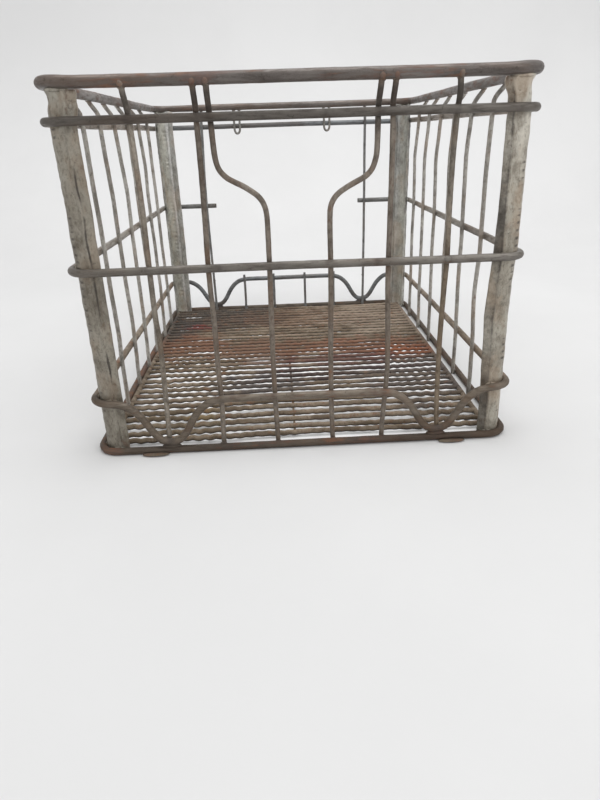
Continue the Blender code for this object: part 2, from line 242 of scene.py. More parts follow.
# ---- materials --------------------------------------------------------------
class Graph:
    """A material and short ways to add nodes to it."""

    def __init__(self, name):
        self.material = bpy.data.materials.new(name)
        self.material.use_nodes = True
        self.tree = self.material.node_tree
        self.shader = self.tree.nodes["Principled BSDF"]
        self.place = self.add("ShaderNodeTexCoord").outputs["Object"]

    def add(self, kind, **inputs):
        node = self.tree.nodes.new(kind)
        for key, value in inputs.items():
            node.inputs[key.replace("_", " ")].default_value = value
        return node

    def link(self, source, socket):
        self.tree.links.new(source, socket)

    def output(self, source, name):
        self.link(source, self.shader.inputs[name])

    def stretched(self, scale, location=(0.0, 0.0, 0.0)):
        mapping = self.add("ShaderNodeMapping", Location=location, Scale=scale)
        self.link(self.place, mapping.inputs["Vector"])
        return mapping.outputs["Vector"]

    def noise(self, scale, detail, rough=0.55, warp=0.0, vector=None):
        node = self.add(
            "ShaderNodeTexNoise", Scale=scale, Detail=detail, Roughness=rough, Distortion=warp
        )
        self.link(vector or self.place, node.inputs["Vector"])
        return node.outputs["Fac"]

    def ramp(self, value, start, end, out_start=0.0, out_end=1.0):
        node = self.add(
            "ShaderNodeMapRange", From_Min=start, From_Max=end, To_Min=out_start, To_Max=out_end
        )
        node.clamp = True
        node.interpolation_type = "SMOOTHSTEP"
        self.link(value, node.inputs["Value"])
        return node.outputs["Result"]

    def math(self, kind, *values, clamp=False):
        node = self.add("ShaderNodeMath")
        node.operation = kind
        node.use_clamp = clamp
        for socket, value in zip(node.inputs, values):
            if isinstance(value, (int, float)):
                socket.default_value = value
            else:
                self.link(value, socket)
        return node.outputs[0]

    def plus(self, one, two, clamp=False):
        return self.math("ADD", one, two, clamp=clamp)

    def minus(self, one, two):
        return self.math("SUBTRACT", one, two)

    def times(self, one, two):
        return self.math("MULTIPLY", one, two)

    def mix(self, share, one, two, blend="MIX"):
        node = self.add("ShaderNodeMix")
        node.data_type = "RGBA"
        node.blend_type = blend
        # inputs 0, 6 and 7 are the share and the two colours
        for i, value in ((0, share), (6, one), (7, two)):
            if isinstance(value, (int, float)):
                node.inputs[i].default_value = value
            elif isinstance(value, tuple):
                node.inputs[i].default_value = (*value, 1.0)
            else:
                self.link(value, node.inputs[i])
        return node.outputs[2]

    def blotch(self, colour, tone, value, start, end, strength):
        """Lays tone over colour where value runs from start to end."""
        return self.mix(self.times(self.ramp(value, start, end), strength), colour, tone)

    def tinted(self, colour, tint):
        return self.mix(1.0, colour, tint, "MULTIPLY")

    def attribute(self, name):
        node = self.add("ShaderNodeAttribute")
        node.attribute_name = name
        return node.outputs["Fac"]

    def split(self, vector, letter):
        node = self.add("ShaderNodeSeparateXYZ")
        self.link(vector, node.inputs[0])
        return node.outputs[letter]

    def axis(self, letter):
        return self.split(self.place, letter)

    def zone(self, x, y, wide, deep, seed):
        """1 inside a blurred, uneven patch of the floor round (x, y), 0 outside."""
        place = self.stretched((1 / wide, 1 / deep, 1.0), (-x / wide, -y / deep, -0.004))
        length = self.add("ShaderNodeVectorMath")
        length.operation = "LENGTH"
        self.link(place, length.inputs[0])
        uneven = self.minus(self.noise(scale=38 + seed, detail=5, rough=0.6), 0.5)
        reach = self.plus(length.outputs["Value"], self.times(uneven, 3.0))
        return self.ramp(reach, start=1.45, end=0.55)

    def bump(self, height, strength, distance):
        bump = self.add("ShaderNodeBump", Strength=strength, Distance=distance)
        self.link(height, bump.inputs["Height"])
        self.output(bump.outputs["Normal"], "Normal")


RUST_ORANGE = (0.215, 0.098, 0.052)
RUST_BROWN = (0.092, 0.054, 0.039)
RUST_RED = (0.130, 0.068, 0.055)
PIT = (0.040, 0.030, 0.023)
GRIME = (0.032, 0.024, 0.019)
TAN_SHARES = (1.05, 0.82, 0.66)  # of the middle tone


def weathered(
    name, pale, mid, deep, rust=0.35, metallic=0.35, rough=0.62, streak=(1.0, 1.0, 1.0),
    foot=None, front=None, rear=None, flank=None, flank_at=(0.158, 0.1655),
):  # fmt: skip
    """Old zinc plate over steel: blotched greys, grime and rust that gathers at welds.

    pale, mid and deep are its three greys, streak scales the pattern so that it stretches
    along a bar. foot, front, rear and flank tint its low end, front, back and two sides;
    flank_at is the distance from the middle over which the last sets in."""
    mat = Graph(f"weathered_{name}")
    along = mat.stretched(streak)
    broad = mat.noise(scale=30, detail=5, rough=0.62, warp=0.3, vector=along)
    patch = mat.noise(scale=110, detail=6, rough=0.64, warp=0.2, vector=along)
    fine = mat.noise(scale=430, detail=5, rough=0.68, vector=along)
    grit = mat.noise(scale=1500, detail=3, rough=0.6)
    colour = mat.mix(mat.ramp(broad, start=0.32, end=0.68), mid, pale)
    colour = mat.blotch(colour, deep, patch, start=0.42, end=0.70, strength=0.75)
    colour = mat.blotch(colour, deep, fine, start=0.46, end=0.70, strength=0.62)
    colour = mat.blotch(colour, pale, grit, start=0.52, end=0.74, strength=0.45)

    # tan stains
    worn = mat.attribute("rusty")
    stains = mat.noise(scale=48, detail=5, rough=0.6, warp=0.2, vector=along)
    stains = mat.plus(stains, mat.times(worn, 0.10))
    tan = tuple(c * k for c, k in zip(mid, TAN_SHARES))
    colour = mat.blotch(colour, tan, stains, start=0.50, end=0.66, strength=0.35 + 0.25 * rust)

    # rust
    spots = mat.noise(scale=75, detail=6, rough=0.68, warp=0.4, vector=along)
    spots = mat.plus(mat.times(spots, 0.60), mat.times(fine, 0.40))
    cut = mat.minus(0.67 - 0.14 * rust, mat.times(worn, 0.20))
    rusted = mat.ramp(mat.minus(spots, cut), start=-0.03, end=0.11)
    rusty = mat.mix(mat.ramp(fine, start=0.40, end=0.62), RUST_BROWN, RUST_ORANGE)
    red = mat.noise(scale=40, detail=3)
    rusty = mat.blotch(rusty, RUST_RED, red, start=0.46, end=0.62, strength=0.8)
    colour = mat.mix(mat.times(rusted, 0.62), colour, rusty)

    # small dark pits, then grime
    pits = mat.noise(scale=260, detail=4, rough=0.75)
    colour = mat.blotch(colour, PIT, pits, start=0.60, end=0.70, strength=0.55)
    dirt = mat.times(mat.noise(scale=180, detail=5, rough=0.7), 0.5)
    dirt = mat.plus(dirt, mat.times(mat.attribute("dark"), 0.62))
    grimy = mat.ramp(dirt, start=0.40, end=0.84)
    colour = mat.mix(mat.times(grimy, 0.84), colour, GRIME)

    # tints by place
    if foot:
        height = mat.ramp(mat.axis("Z"), start=0.11, end=0.25)
        colour = mat.mix(height, mat.tinted(colour, foot), colour)
    if front:
        near = mat.ramp(mat.axis("Y"), start=-0.196, end=-0.206)
        colour = mat.mix(near, colour, mat.tinted(colour, front))
    if flank:
        beside = mat.ramp(mat.math("ABSOLUTE", mat.axis("X")), *flank_at)
        beside = mat.times(beside, mat.ramp(mat.axis("Y"), start=-0.200, end=-0.190))
        colour = mat.mix(beside, colour, mat.tinted(colour, flank))
    if rear:
        behind = mat.ramp(mat.axis("Y"), start=0.186, end=0.204)
        colour = mat.mix(behind, colour, mat.tinted(colour, rear))
    mat.output(colour, "Base Color")

    # rust and grime aren't metallic, and are duller
    covered = mat.math("MAXIMUM", rusted, grimy)
    shine = mat.ramp(covered, start=0.0, end=1.0, out_start=metallic, out_end=0.04)
    mat.output(shine, "Metallic")
    dull = mat.ramp(fine, start=0.35, end=0.70, out_start=rough - 0.10, out_end=rough + 0.12)
    mat.output(mat.plus(dull, mat.times(covered, 0.16), clamp=True), "Roughness")
    height = mat.plus(mat.times(fine, 0.55), mat.times(grit, 0.25))
    height = mat.plus(height, mat.times(rusted, 0.30))
    mat.bump(height, strength=0.60, distance=0.0005)
    return mat.material


# patches of colour on the floor: x, y, half width, half depth, strength, tone
FLOOR_PATCHES = (
    (-0.105, 0.160, 0.100, 0.062, 0.90, (0.044, 0.038, 0.034)),
    (-0.150, 0.100, 0.035, 0.040, 0.80, (0.055, 0.047, 0.043)),
    (0.118, -0.062, 0.058, 0.075, 0.85, (0.084, 0.068, 0.064)),
    (0.005, -0.068, 0.060, 0.016, 0.95, (0.050, 0.030, 0.028)),
    (0.050, -0.052, 0.090, 0.012, 0.80, (0.055, 0.032, 0.030)),
    (-0.037, -0.092, 0.040, 0.026, 0.85, (0.070, 0.060, 0.060)),
    (-0.122, 0.042, 0.045, 0.042, 0.90, (0.190, 0.090, 0.052)),
    (-0.035, 0.012, 0.055, 0.042, 0.80, (0.190, 0.095, 0.058)),
    (-0.035, -0.015, 0.022, 0.010, 0.65, (0.330, 0.290, 0.250)),
    (0.080, 0.012, 0.085, 0.030, 0.85, (0.205, 0.088, 0.048)),
    (0.125, -0.010, 0.030, 0.018, 0.80, (0.260, 0.085, 0.035)),
    (0.050, -0.025, 0.070, 0.018, 0.80, (0.105, 0.042, 0.036)),
    (-0.119, 0.116, 0.016, 0.007, 0.90, (0.210, 0.035, 0.030)),
    (0.020, 0.140, 0.110, 0.040, 0.50, (0.185, 0.100, 0.060)),
    (0.115, 0.140, 0.075, 0.070, 0.60, (0.360, 0.290, 0.225)),
    (-0.092, -0.154, 0.012, 0.012, 0.60, (0.260, 0.170, 0.060)),
    (-0.120, -0.170, 0.060, 0.030, 0.40, (0.150, 0.115, 0.065)),
)
FLOOR_OLIVE = (0.122, 0.088, 0.056)
FLOOR_TAN = (0.252, 0.196, 0.138)
FLOOR_DARK = (0.058, 0.040, 0.026)
FLOOR_PALE = (0.300, 0.240, 0.178)
FLOOR_GRIME = (0.030, 0.022, 0.018)
# colour of the painted shade under the floor's wires
FLOOR_UNDERSIDE_SHADE = (0.018, 0.012, 0.008)


def rusty_floor():
    """The floor's wires: olive brown to tan, with orange rust, dark grey patches and painted shade
    on their undersides.
    """
    mat = Graph("rusty_floor")
    along = mat.stretched((0.45, 1.6, 1.0))
    streak = mat.noise(scale=60, detail=6, rough=0.62, warp=0.2, vector=along)
    fine = mat.noise(scale=460, detail=5, rough=0.65)
    grit = mat.noise(scale=1600, detail=3, rough=0.6)
    colour = mat.mix(mat.ramp(streak, start=0.40, end=0.62), FLOOR_OLIVE, FLOOR_TAN)
    colour = mat.blotch(colour, FLOOR_DARK, fine, start=0.48, end=0.70, strength=0.60)
    by_wire = mat.stretched((6.0, 240.0, 1.0))
    wires = mat.noise(scale=1.0, detail=2, rough=0.5, vector=by_wire)
    colour = mat.blotch(colour, FLOOR_PALE, wires, start=0.52, end=0.70, strength=0.45)
    for k, (x, y, wide, deep, strength, tone) in enumerate(FLOOR_PATCHES):
        zone = mat.zone(x, y, wide, deep, seed=k * 3.0)
        speck = mat.plus(mat.times(fine, 0.4), mat.times(streak, 0.6))
        speck = mat.ramp(speck, start=0.36, end=0.56)
        broken = mat.plus(mat.times(speck, 0.55), 0.45)
        colour = mat.mix(mat.times(mat.times(zone, strength), broken), colour, tone)
    worn = mat.times(mat.noise(scale=110, detail=6, rough=0.68), 0.7)
    worn = mat.plus(worn, mat.times(fine, 0.3))
    colour = mat.blotch(colour, RUST_ORANGE, worn, start=0.55, end=0.62, strength=0.50)
    colour = mat.mix(mat.times(mat.attribute("dark"), 0.8), colour, FLOOR_GRIME)
    # painted shade on the wires' undersides: the further down a surface faces, the darker
    facing = mat.split(mat.add("ShaderNodeNewGeometry").outputs["Normal"], "Z")
    under = mat.plus(facing, mat.times(mat.minus(fine, 0.5), 0.8))
    colour = mat.blotch(colour, FLOOR_UNDERSIDE_SHADE, under, start=0.25, end=-0.45, strength=0.86)
    mat.output(colour, "Base Color")
    mat.shader.inputs["Metallic"].default_value = 0.12
    dull = mat.ramp(fine, start=0.35, end=0.70, out_start=0.62, out_end=0.88)
    mat.output(dull, "Roughness")
    height = mat.plus(mat.times(fine, 0.6), mat.times(grit, 0.3))
    mat.bump(height, strength=0.7, distance=0.0006)
    return mat.material


def foot_tint(share):
    """A slightly warm tint for the low end of an upright."""
    return (share, share * 0.99, share * 0.97)


ACROSS = (0.16, 0.24, 1.0)  # pattern scale along a hoop
UPRIGHT = (1.0, 1.0, 0.60)  # and along an upright
POST_FLANK = (0.1520, 0.1585)

RIM = weathered(
    "rim", (0.222, 0.203, 0.188), (0.121, 0.103, 0.092), (0.055, 0.042, 0.036),
    rust=0.62, metallic=0.50, rough=0.46, streak=ACROSS,
)  # fmt: skip
HOOP = weathered(
    "hoop", (0.240, 0.223, 0.200), (0.138, 0.122, 0.104), (0.060, 0.049, 0.040),
    rust=0.30, metallic=0.50, rough=0.46, streak=ACROSS,
    rear=(0.92, 1.00, 1.08), flank=(1.50, 1.48, 1.44),
)  # fmt: skip
UPPER_HOOP = weathered(
    "upper_hoop", (0.300, 0.270, 0.238), (0.160, 0.137, 0.117), (0.070, 0.056, 0.046),
    rust=0.30, metallic=0.45, rough=0.48, streak=ACROSS,
    front=(0.50, 0.50, 0.50), rear=(0.74, 0.88, 1.04), flank=(1.20, 1.18, 1.15),
)  # fmt: skip
TAN_HOOP = weathered(
    "tan_hoop", (0.206, 0.172, 0.136), (0.117, 0.090, 0.065), (0.050, 0.037, 0.026),
    rust=0.35, metallic=0.40, rough=0.56, streak=ACROSS,
    rear=(0.98, 1.24, 1.62), flank=(1.55, 1.53, 1.49),
)  # fmt: skip
LOW_HOOP = weathered(
    "low_hoop", (0.134, 0.108, 0.083), (0.076, 0.057, 0.042), (0.036, 0.027, 0.020),
    rust=0.55, rough=0.66, streak=ACROSS,
)  # fmt: skip
POST = weathered(
    "post", (0.400, 0.372, 0.315), (0.262, 0.236, 0.192), (0.120, 0.098, 0.072),
    rust=0.16, rough=0.50, streak=UPRIGHT, foot=foot_tint(0.78),
)  # fmt: skip
# the right front post's paler greys are painted light, standing for light falling from the right
RIGHT_POST = weathered(
    "right_post", (0.610, 0.575, 0.500), (0.430, 0.394, 0.330), (0.170, 0.142, 0.108),
    rust=0.13, metallic=0.30, rough=0.48, streak=UPRIGHT, foot=foot_tint(0.74),
)  # fmt: skip
# the back posts' pale greys are painted light on their inside faces, which face the front
REAR_POST = weathered(
    "rear_post", (0.700, 0.700, 0.680), (0.545, 0.542, 0.522), (0.240, 0.230, 0.210),
    rust=0.12, metallic=0.30, rough=0.46, streak=UPRIGHT, foot=foot_tint(0.88),
    flank=(0.80, 0.79, 0.72), flank_at=POST_FLANK,
)  # fmt: skip
RIGHT_REAR_POST = weathered(
    "right_rear_post", (0.560, 0.565, 0.548), (0.425, 0.426, 0.408), (0.215, 0.209, 0.192),
    rust=0.12, metallic=0.30, rough=0.46, streak=UPRIGHT, foot=foot_tint(1.25),
    flank=(0.88, 0.87, 0.82), flank_at=POST_FLANK,
)  # fmt: skip
WIRE = weathered(
    "wire", (0.250, 0.215, 0.178), (0.160, 0.128, 0.100), (0.066, 0.048, 0.036),
    rust=0.50, rough=0.56, streak=UPRIGHT,
)  # fmt: skip
LEFT_WIRE = weathered(
    "left_wire", (0.405, 0.362, 0.308), (0.255, 0.220, 0.178), (0.100, 0.080, 0.061),
    rust=0.28, rough=0.56, streak=UPRIGHT, foot=foot_tint(0.78),
)  # fmt: skip
GREY_WIRE = weathered(
    "grey_wire", (0.262, 0.238, 0.203), (0.164, 0.143, 0.114), (0.067, 0.055, 0.042),
    rust=0.32, rough=0.56, streak=UPRIGHT, foot=(0.98, 0.84, 0.70),
)  # fmt: skip
PIN = weathered(
    "pin", (0.330, 0.322, 0.300), (0.215, 0.206, 0.190), (0.110, 0.100, 0.088),
    rust=0.15, metallic=0.40, rough=0.52,
)  # fmt: skip
SIDE_WIRE = weathered(
    "side_wire", (0.480, 0.456, 0.416), (0.308, 0.287, 0.254), (0.114, 0.100, 0.084),
    rust=0.25, metallic=0.40, rough=0.52, streak=UPRIGHT,
)  # fmt: skip
REAR = weathered(
    "rear", (0.260, 0.262, 0.258), (0.170, 0.170, 0.164), (0.086, 0.082, 0.077),
    rust=0.12, metallic=0.45, rough=0.50,
)  # fmt: skip
LUG = weathered(
    "lug", (0.170, 0.145, 0.108), (0.112, 0.090, 0.064), (0.056, 0.043, 0.031),
    rust=0.25, rough=0.70,
)  # fmt: skip
FLOOR = rusty_floor()


# ---- driving sizes, read from the frame -------------------------------------
RIM_RADIUS = half_size("top_rim", 2)
RING_RADIUS = half_size("upper_ring", 2)
FRONT_RADIUS = half_size("front_wire_mid_left", 0)
SIDE_RADIUS = half_size("side_wire_left_1", 1)
REAR_RADIUS = half_size("rear_wire_left", 0)

# half width and half depth of the hoops, to the middle of the bar
HALF_X = half_size("top_rim", 0) - RIM_RADIUS
HALF_Y = half_size("top_rim", 1) - RIM_RADIUS

# heights of the hoops; the wavy hoop has a high run and low dips
rim_low, rim_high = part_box("top_rim")
RIM_Z = (rim_high.z + rim_low.z) / 2
UP_Z = middle("upper_ring").z
MID_Z = middle("middle_ring").z
LOW_Z = middle("bottom_ring").z
WAVE_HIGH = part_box("wavy_ring")[1].z - RING_RADIUS
WAVE_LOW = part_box("wavy_ring")[0].z + RING_RADIUS

# corner radii of the hoops and the rim
BEND = 0.0160
RIM_BEND = 0.0220

# the wires run up just inside the hoops
INSET = 0.0002
FRONT_IN = -(HALF_Y - RING_RADIUS - FRONT_RADIUS + INSET)
FRONT_OUT = -HALF_Y - INSET
SIDE_IN = HALF_X - RING_RADIUS - SIDE_RADIUS + INSET
SIDE_OUT = HALF_X + 0.0004
REAR_IN = HALF_Y - RING_RADIUS - REAR_RADIUS + INSET

# where uprights are welded to the front and sides of the hoops
hand_left, hand_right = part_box("hand_wire_left"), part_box("hand_wire_right")
HAND_TOP = max(abs(hand_left[0].x), abs(hand_right[1].x)) - 0.0020
HAND_LOW = min(abs(hand_left[1].x), abs(hand_right[0].x)) + 0.0020
FRONT_SPOTS = [
    middle(f"front_wire_{place}").x
    for place in ("outer_left", "mid_left", "mid_right", "outer_right")
] + [HAND_LOW, -HAND_LOW, HAND_TOP, -HAND_TOP]
SIDE_SPOTS = {
    side: [middle(f"side_wire_{side}_{i}").y for i in range(1, 7)] for side in ("left", "right")
}


# ---- hoops ------------------------------------------------------------------
def hoop_plan(step=0.006, bend=BEND):
    """Plan points of a hoop, anticlockwise from the front left corner."""
    out = []
    corner_x, corner_y = HALF_X - bend, HALF_Y - bend
    corners = (
        (-corner_x, -corner_y, 180),
        (corner_x, -corner_y, 270),
        (corner_x, corner_y, 0),
        (-corner_x, corner_y, 90),
    )
    arc = 10
    for i, (x, y, turn) in enumerate(corners):
        for k in range(arc + 1):
            angle = math.radians(turn + 90 * k / arc)
            out.append((x + bend * math.cos(angle), y + bend * math.sin(angle)))
        next_x, next_y, next_turn = corners[(i + 1) % 4]
        angle = math.radians(next_turn)
        end = (next_x + bend * math.cos(angle), next_y + bend * math.sin(angle))
        begin = out[-1]
        count = max(1, round(math.dist(begin, end) / step))
        for k in range(1, count):
            out.append(tuple(b + (e - b) * k / count for b, e in zip(begin, end)))
    return out


def hoop_path(z, seed, bend=BEND, lifted=0.0):
    """The hoop as it lies: hand-bent, so it strays a little from its plan.

    lifted is how far its two front corners rise."""
    sway = 0.0004
    path = []
    for x, y in hoop_plan(bend=bend):
        stray = wander(seed, x + 3 * y, 0.09) * sway
        corner = smooth(HALF_X - 0.030, HALF_X - 0.004, abs(x)) * smooth(-0.150, -0.190, y)
        rise = wander(seed + 5, x - 2 * y, 0.11) * sway + lifted * corner
        inside = 1 - abs(stray) / max(HALF_X, HALF_Y)
        path.append(Vector((x * inside, y * inside, z + rise)))
    return path


def near_welds(p, reach):
    """How close a point of a hoop is to an upright welded to it, 0 to 1."""
    best = 0.0
    if p.y < -HALF_Y + 0.02:
        best = max(best, 1 - min(abs(p.x - x) for x in FRONT_SPOTS) / reach)
    if abs(p.x) > HALF_X - 0.02:
        spots = SIDE_SPOTS["left" if p.x < 0 else "right"]
        best = max(best, 1 - min(abs(p.y - y) for y in spots) / reach)
    return best


def rim_wear(p):
    weld = near_welds(p, 0.010)
    streak = max(0.0, wander(3, p.x + p.y, 0.05))
    rust = 0.20 + 0.45 * weld + 0.5 * streak * (1 if p.y < -0.15 else 0.3)
    if p.y < -0.19:
        # a rusty stretch near the front left corner
        rust += 0.75 * bell(p.x + 0.112, 0.022) * smooth(RIM_Z - 0.002, RIM_Z + 0.002, p.z)
    return rust, 0.10 + 0.35 * weld + (0.075 if p.y < 0 else 0.0)


def ring_wear(p):
    weld = near_welds(p, 0.007)
    return 0.05 + 0.5 * weld, 0.12 + 0.50 * weld


def low_wear(p):
    weld = near_welds(p, 0.009)
    left_side = 0.55 if p.x < -HALF_X + 0.02 and p.y < 0.06 else 0.0
    return 0.25 + 0.35 * weld + left_side, 0.22 + 0.35 * weld


def wave_wear(p):
    dip = smooth(WAVE_HIGH - 0.010, WAVE_LOW, p.z)
    weld = near_welds(p, 0.008)
    return 0.15 + 0.30 * dip + 0.4 * weld, 0.14 + 0.24 * dip + 0.40 * weld


def hoop_body(path, wear, seed, radius=RING_RADIUS, sides=18, closed=True, reach=1.0):
    body = Body()
    body.rod(path, radius, level, wear, seed, sides, closed, ripple=0.035, reach=reach)
    return body


def build_plain_hoops():
    path = hoop_path(RIM_Z, 1.0, bend=RIM_BEND, lifted=0.0012)
    body = hoop_body(path, rim_wear, seed=1.0, radius=RIM_RADIUS, sides=22)
    body.piece("top_rim_bar", RIM, "top_rim", "rim_steel")
    body = hoop_body(hoop_path(UP_Z, 2.0), ring_wear, seed=2.0)
    body.piece("upper_ring_bar", UPPER_HOOP, "upper_ring", "hoop_steel")
    body = hoop_body(hoop_path(LOW_Z, 3.0), low_wear, seed=3.0)
    body.piece("bottom_ring_bar", LOW_HOOP, "bottom_ring", "hoop_steel")


def build_middle_hoop():
    """It stops a little way across the back, in two tapered ends."""
    left_end, right_end = -0.0992, 0.1012
    plan = hoop_path(MID_Z, 4.0)
    back = [i for i, p in enumerate(plan) if p.y > HALF_Y - 0.0015 and abs(p.x) < HALF_X - BEND]
    start = max(i for i in back if plan[i].x > left_end) + 1
    stop = min(i for i in back if plan[i].x < right_end) - 1
    path = [Vector((left_end, HALF_Y, plan[start].z))] + plan[start:]
    path += plan[: stop + 1] + [Vector((right_end, HALF_Y, plan[stop].z))]
    body = hoop_body(path, ring_wear, seed=4.0, closed=False, reach=1.6)
    # a bead on its face, right of the middle of the front
    spot = (0.1085, -HALF_Y - RING_RADIUS * 0.80, MID_Z + 0.0006)
    body.weld(spot, (0.0026, 0.0012, 0.0022), seed=4.4, rust=0.0, dark=0.0)
    body.piece("middle_ring_bar", HOOP, "middle_ring", "hoop_steel")


# half a dip of the wavy hoop: distance from its centre, share of its depth
DIP = (
    (0.0000, 1.000), (0.0075, 0.935), (0.0130, 0.765), (0.0175, 0.545), (0.0220, 0.345),
    (0.0270, 0.195), (0.0330, 0.080), (0.0400, 0.022), (0.0500, 0.000),
)  # fmt: skip
# (centre x, lowest z) of each dip, at the front and at the back
FRONT_DIPS = ((-0.1080, WAVE_LOW), (0.1083, WAVE_LOW + 0.0010))
REAR_DIPS = ((-0.1068, WAVE_LOW), (0.1055, WAVE_LOW + 0.0004))


def wave_height(x, y):
    z = WAVE_HIGH + wander(6.0, x + y, 0.10) * 0.0006
    if abs(y) < HALF_Y - 0.002:
        return z
    for centre, low in FRONT_DIPS if y < 0 else REAR_DIPS:
        z -= (WAVE_HIGH - low) * knots(DIP, abs(x - centre))
    return z


def build_wavy_hoop():
    path = [Vector((x, y, wave_height(x, y))) for x, y in hoop_plan(step=0.0028)]
    body = hoop_body(path, wave_wear, seed=6.0)
    # each dip is welded to the bottom hoop
    for y, seed, dips in ((-HALF_Y, 6.1, FRONT_DIPS), (HALF_Y, 6.6, REAR_DIPS)):
        for centre, low in dips:
            spot = (centre, y, (low + LOW_Z) / 2)
            body.weld(spot, (0.0080, 0.0024, 0.0022), seed + centre)
    body.piece("wavy_ring_bar", TAN_HOOP, "wavy_ring", "hoop_steel")


# ---- uprights ---------------------------------------------------------------
def hoop_welds(z):
    """How close a height is to the upper, middle or bottom hoop, 0 to 1."""
    levels = ((UP_Z, 0.008), (MID_Z, 0.007), (LOW_Z, 0.010))
    return max(0.0, *(1 - abs(z - at) / reach for at, reach in levels))


def wire_wear(z, weld, crown_dark):
    """Rust and grime of a wire; crown_dark is the grime of its top part."""
    tip = smooth(RIM_Z - 0.010, RIM_Z - 0.003, z)
    return 0.12 + 0.35 * weld + 0.55 * tip, 0.10 + 0.42 * weld + crown_dark - 0.35 * tip


def hoop_bead(body, spot, radius, seed, axis=0, scale=1.0):
    """A bead where a wire crosses a hoop, flattened towards the hoop."""
    wide, flat, tall = radius * 1.45 * scale, radius * 0.42 * scale, radius * 0.95 * scale
    size = (flat, wide, tall) if axis else (wide, flat, tall)
    body.weld(spot, size, seed, rust=0.35, dark=0.62)


def rim_bead(body, x, y, radius, seed):
    """A bead where a wire meets the underside of the rim."""
    size = (radius * 1.35, radius * 1.35, radius * 0.75)
    body.weld((x, y, RIM_Z - RIM_RADIUS * 0.92), size, seed + 0.9, rust=0.75, dark=0.55)


def rim_nugget(body, x, seed):
    """The end of a front wire shows as a small bead low on the face of the rim."""
    spot = (x, -HALF_Y - RIM_RADIUS * 0.66, RIM_Z - RIM_RADIUS * 0.34)
    body.weld(spot, (0.0023, 0.0019, 0.0023), seed, rust=1.25, dark=0.05)


def upright(node, axis, radius, inner, outer, bends, seed, dark, lean_from=0.0005, bow=None):
    """A wire up the inside of the hoops that leans out to the rim; gives its body and top point.

    axis 0: a front or back wire, whose sideways place is x; axis 1: a side wire, whose sideways
    place is y. It goes from inner to outer, starting lean_from above the upper hoop. bends is a
    table of (height, sideways shift), dark the grime of its top, bow a function from height to
    how far it bulges outwards."""
    low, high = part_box(node)
    line = middle(node)[axis]
    top, foot = high.z + 0.0030, low.z
    sign = 1 if outer > 0 else -1

    def place(sideways, out, z):
        return Vector((out, sideways, z)) if axis else Vector((sideways, out, z))

    steps = max(2, round((top - foot) / 0.0026))
    path = []
    for i in range(steps + 1):
        z = foot + (top - foot) * i / steps
        out = inner + (outer - inner) * smooth(UP_Z + lean_from, RIM_Z - 0.0035, z)
        out += sign * abs(wander(seed + 3, z, 0.05)) * -0.0003 + (sign * bow(z) if bow else 0.0)
        path.append(place(line + knots(bends, z) + wander(seed, z, 0.06) * 0.00035, out, z))

    def wear(p):
        weld = max(hoop_welds(p.z), 0.6 - abs(p.z - WAVE_HIGH) / 0.012)
        return wire_wear(p.z, weld, dark * smooth(UP_Z - 0.004, UP_Z + 0.012, p.z))

    body = Body()
    body.rod(path, radius, along_y if axis else along_x, wear, seed)
    for at, scale in ((UP_Z, 1.0), (MID_Z, 1.0), (LOW_Z + 0.0008, 1.1), (WAVE_HIGH, 0.8)):
        if at <= top:
            spot = place(line + knots(bends, at), inner + sign * radius * 0.95, at)
            hoop_bead(body, spot, radius, seed + at * 31, axis, scale)
    if top > RIM_Z - 0.01:
        spot = place(line + knots(bends, top), outer + (sign * bow(top) if bow else 0.0), top)
        rim_bead(body, spot.x, spot.y, radius, seed)
    return body, path[-1]


# each front wire: material, then its bends as (height, shift in x)
FRONT_WIRES = {
    "outer_left": (LEFT_WIRE, (
        (0.003, -0.0019), (0.014, -0.0018), (0.059, -0.0005), (0.098, 0.0001),
        (0.112, -0.0006), (0.159, -0.0005), (0.196, 0.0000), (0.220, -0.0002),
        (0.246, -0.0009), (0.258, -0.0015), (0.272, -0.0025),
    )),
    "mid_left": (WIRE, (
        (0.003, -0.0012), (0.040, -0.0004), (0.070, -0.0008), (0.111, -0.0004),
        (0.135, -0.0012), (0.161, -0.0010), (0.180, -0.0004), (0.213, 0.0000),
        (0.246, 0.0000), (0.258, 0.0002), (0.271, -0.0002),
    )),
    "mid_right": (WIRE, (
        (0.003, -0.0006), (0.016, -0.0002), (0.050, 0.0020), (0.066, 0.0028),
        (0.100, 0.0024), (0.138, 0.0016), (0.190, 0.0018), (0.236, 0.0021),
        (0.246, 0.0020), (0.256, 0.0016), (0.271, 0.0026),
    )),
    "outer_right": (GREY_WIRE, (
        (0.003, 0.0020), (0.031, 0.0006), (0.080, 0.0002), (0.112, 0.0004),
        (0.130, 0.0008), (0.148, 0.0014), (0.182, 0.0011), (0.220, 0.0012),
        (0.246, 0.0020), (0.258, 0.0026), (0.271, 0.0014),
    )),
}  # fmt: skip


def build_front_wires():
    for i, (place, (material, bends)) in enumerate(FRONT_WIRES.items()):
        node = f"front_wire_{place}"
        body, end = upright(
            node, 0, FRONT_RADIUS, FRONT_IN, FRONT_OUT, bends, seed=11.0 + i, dark=0.8
        )
        rim_nugget(body, end.x, 11.5 + i)
        body.piece(node + "_rod", material, node, "wire_steel")


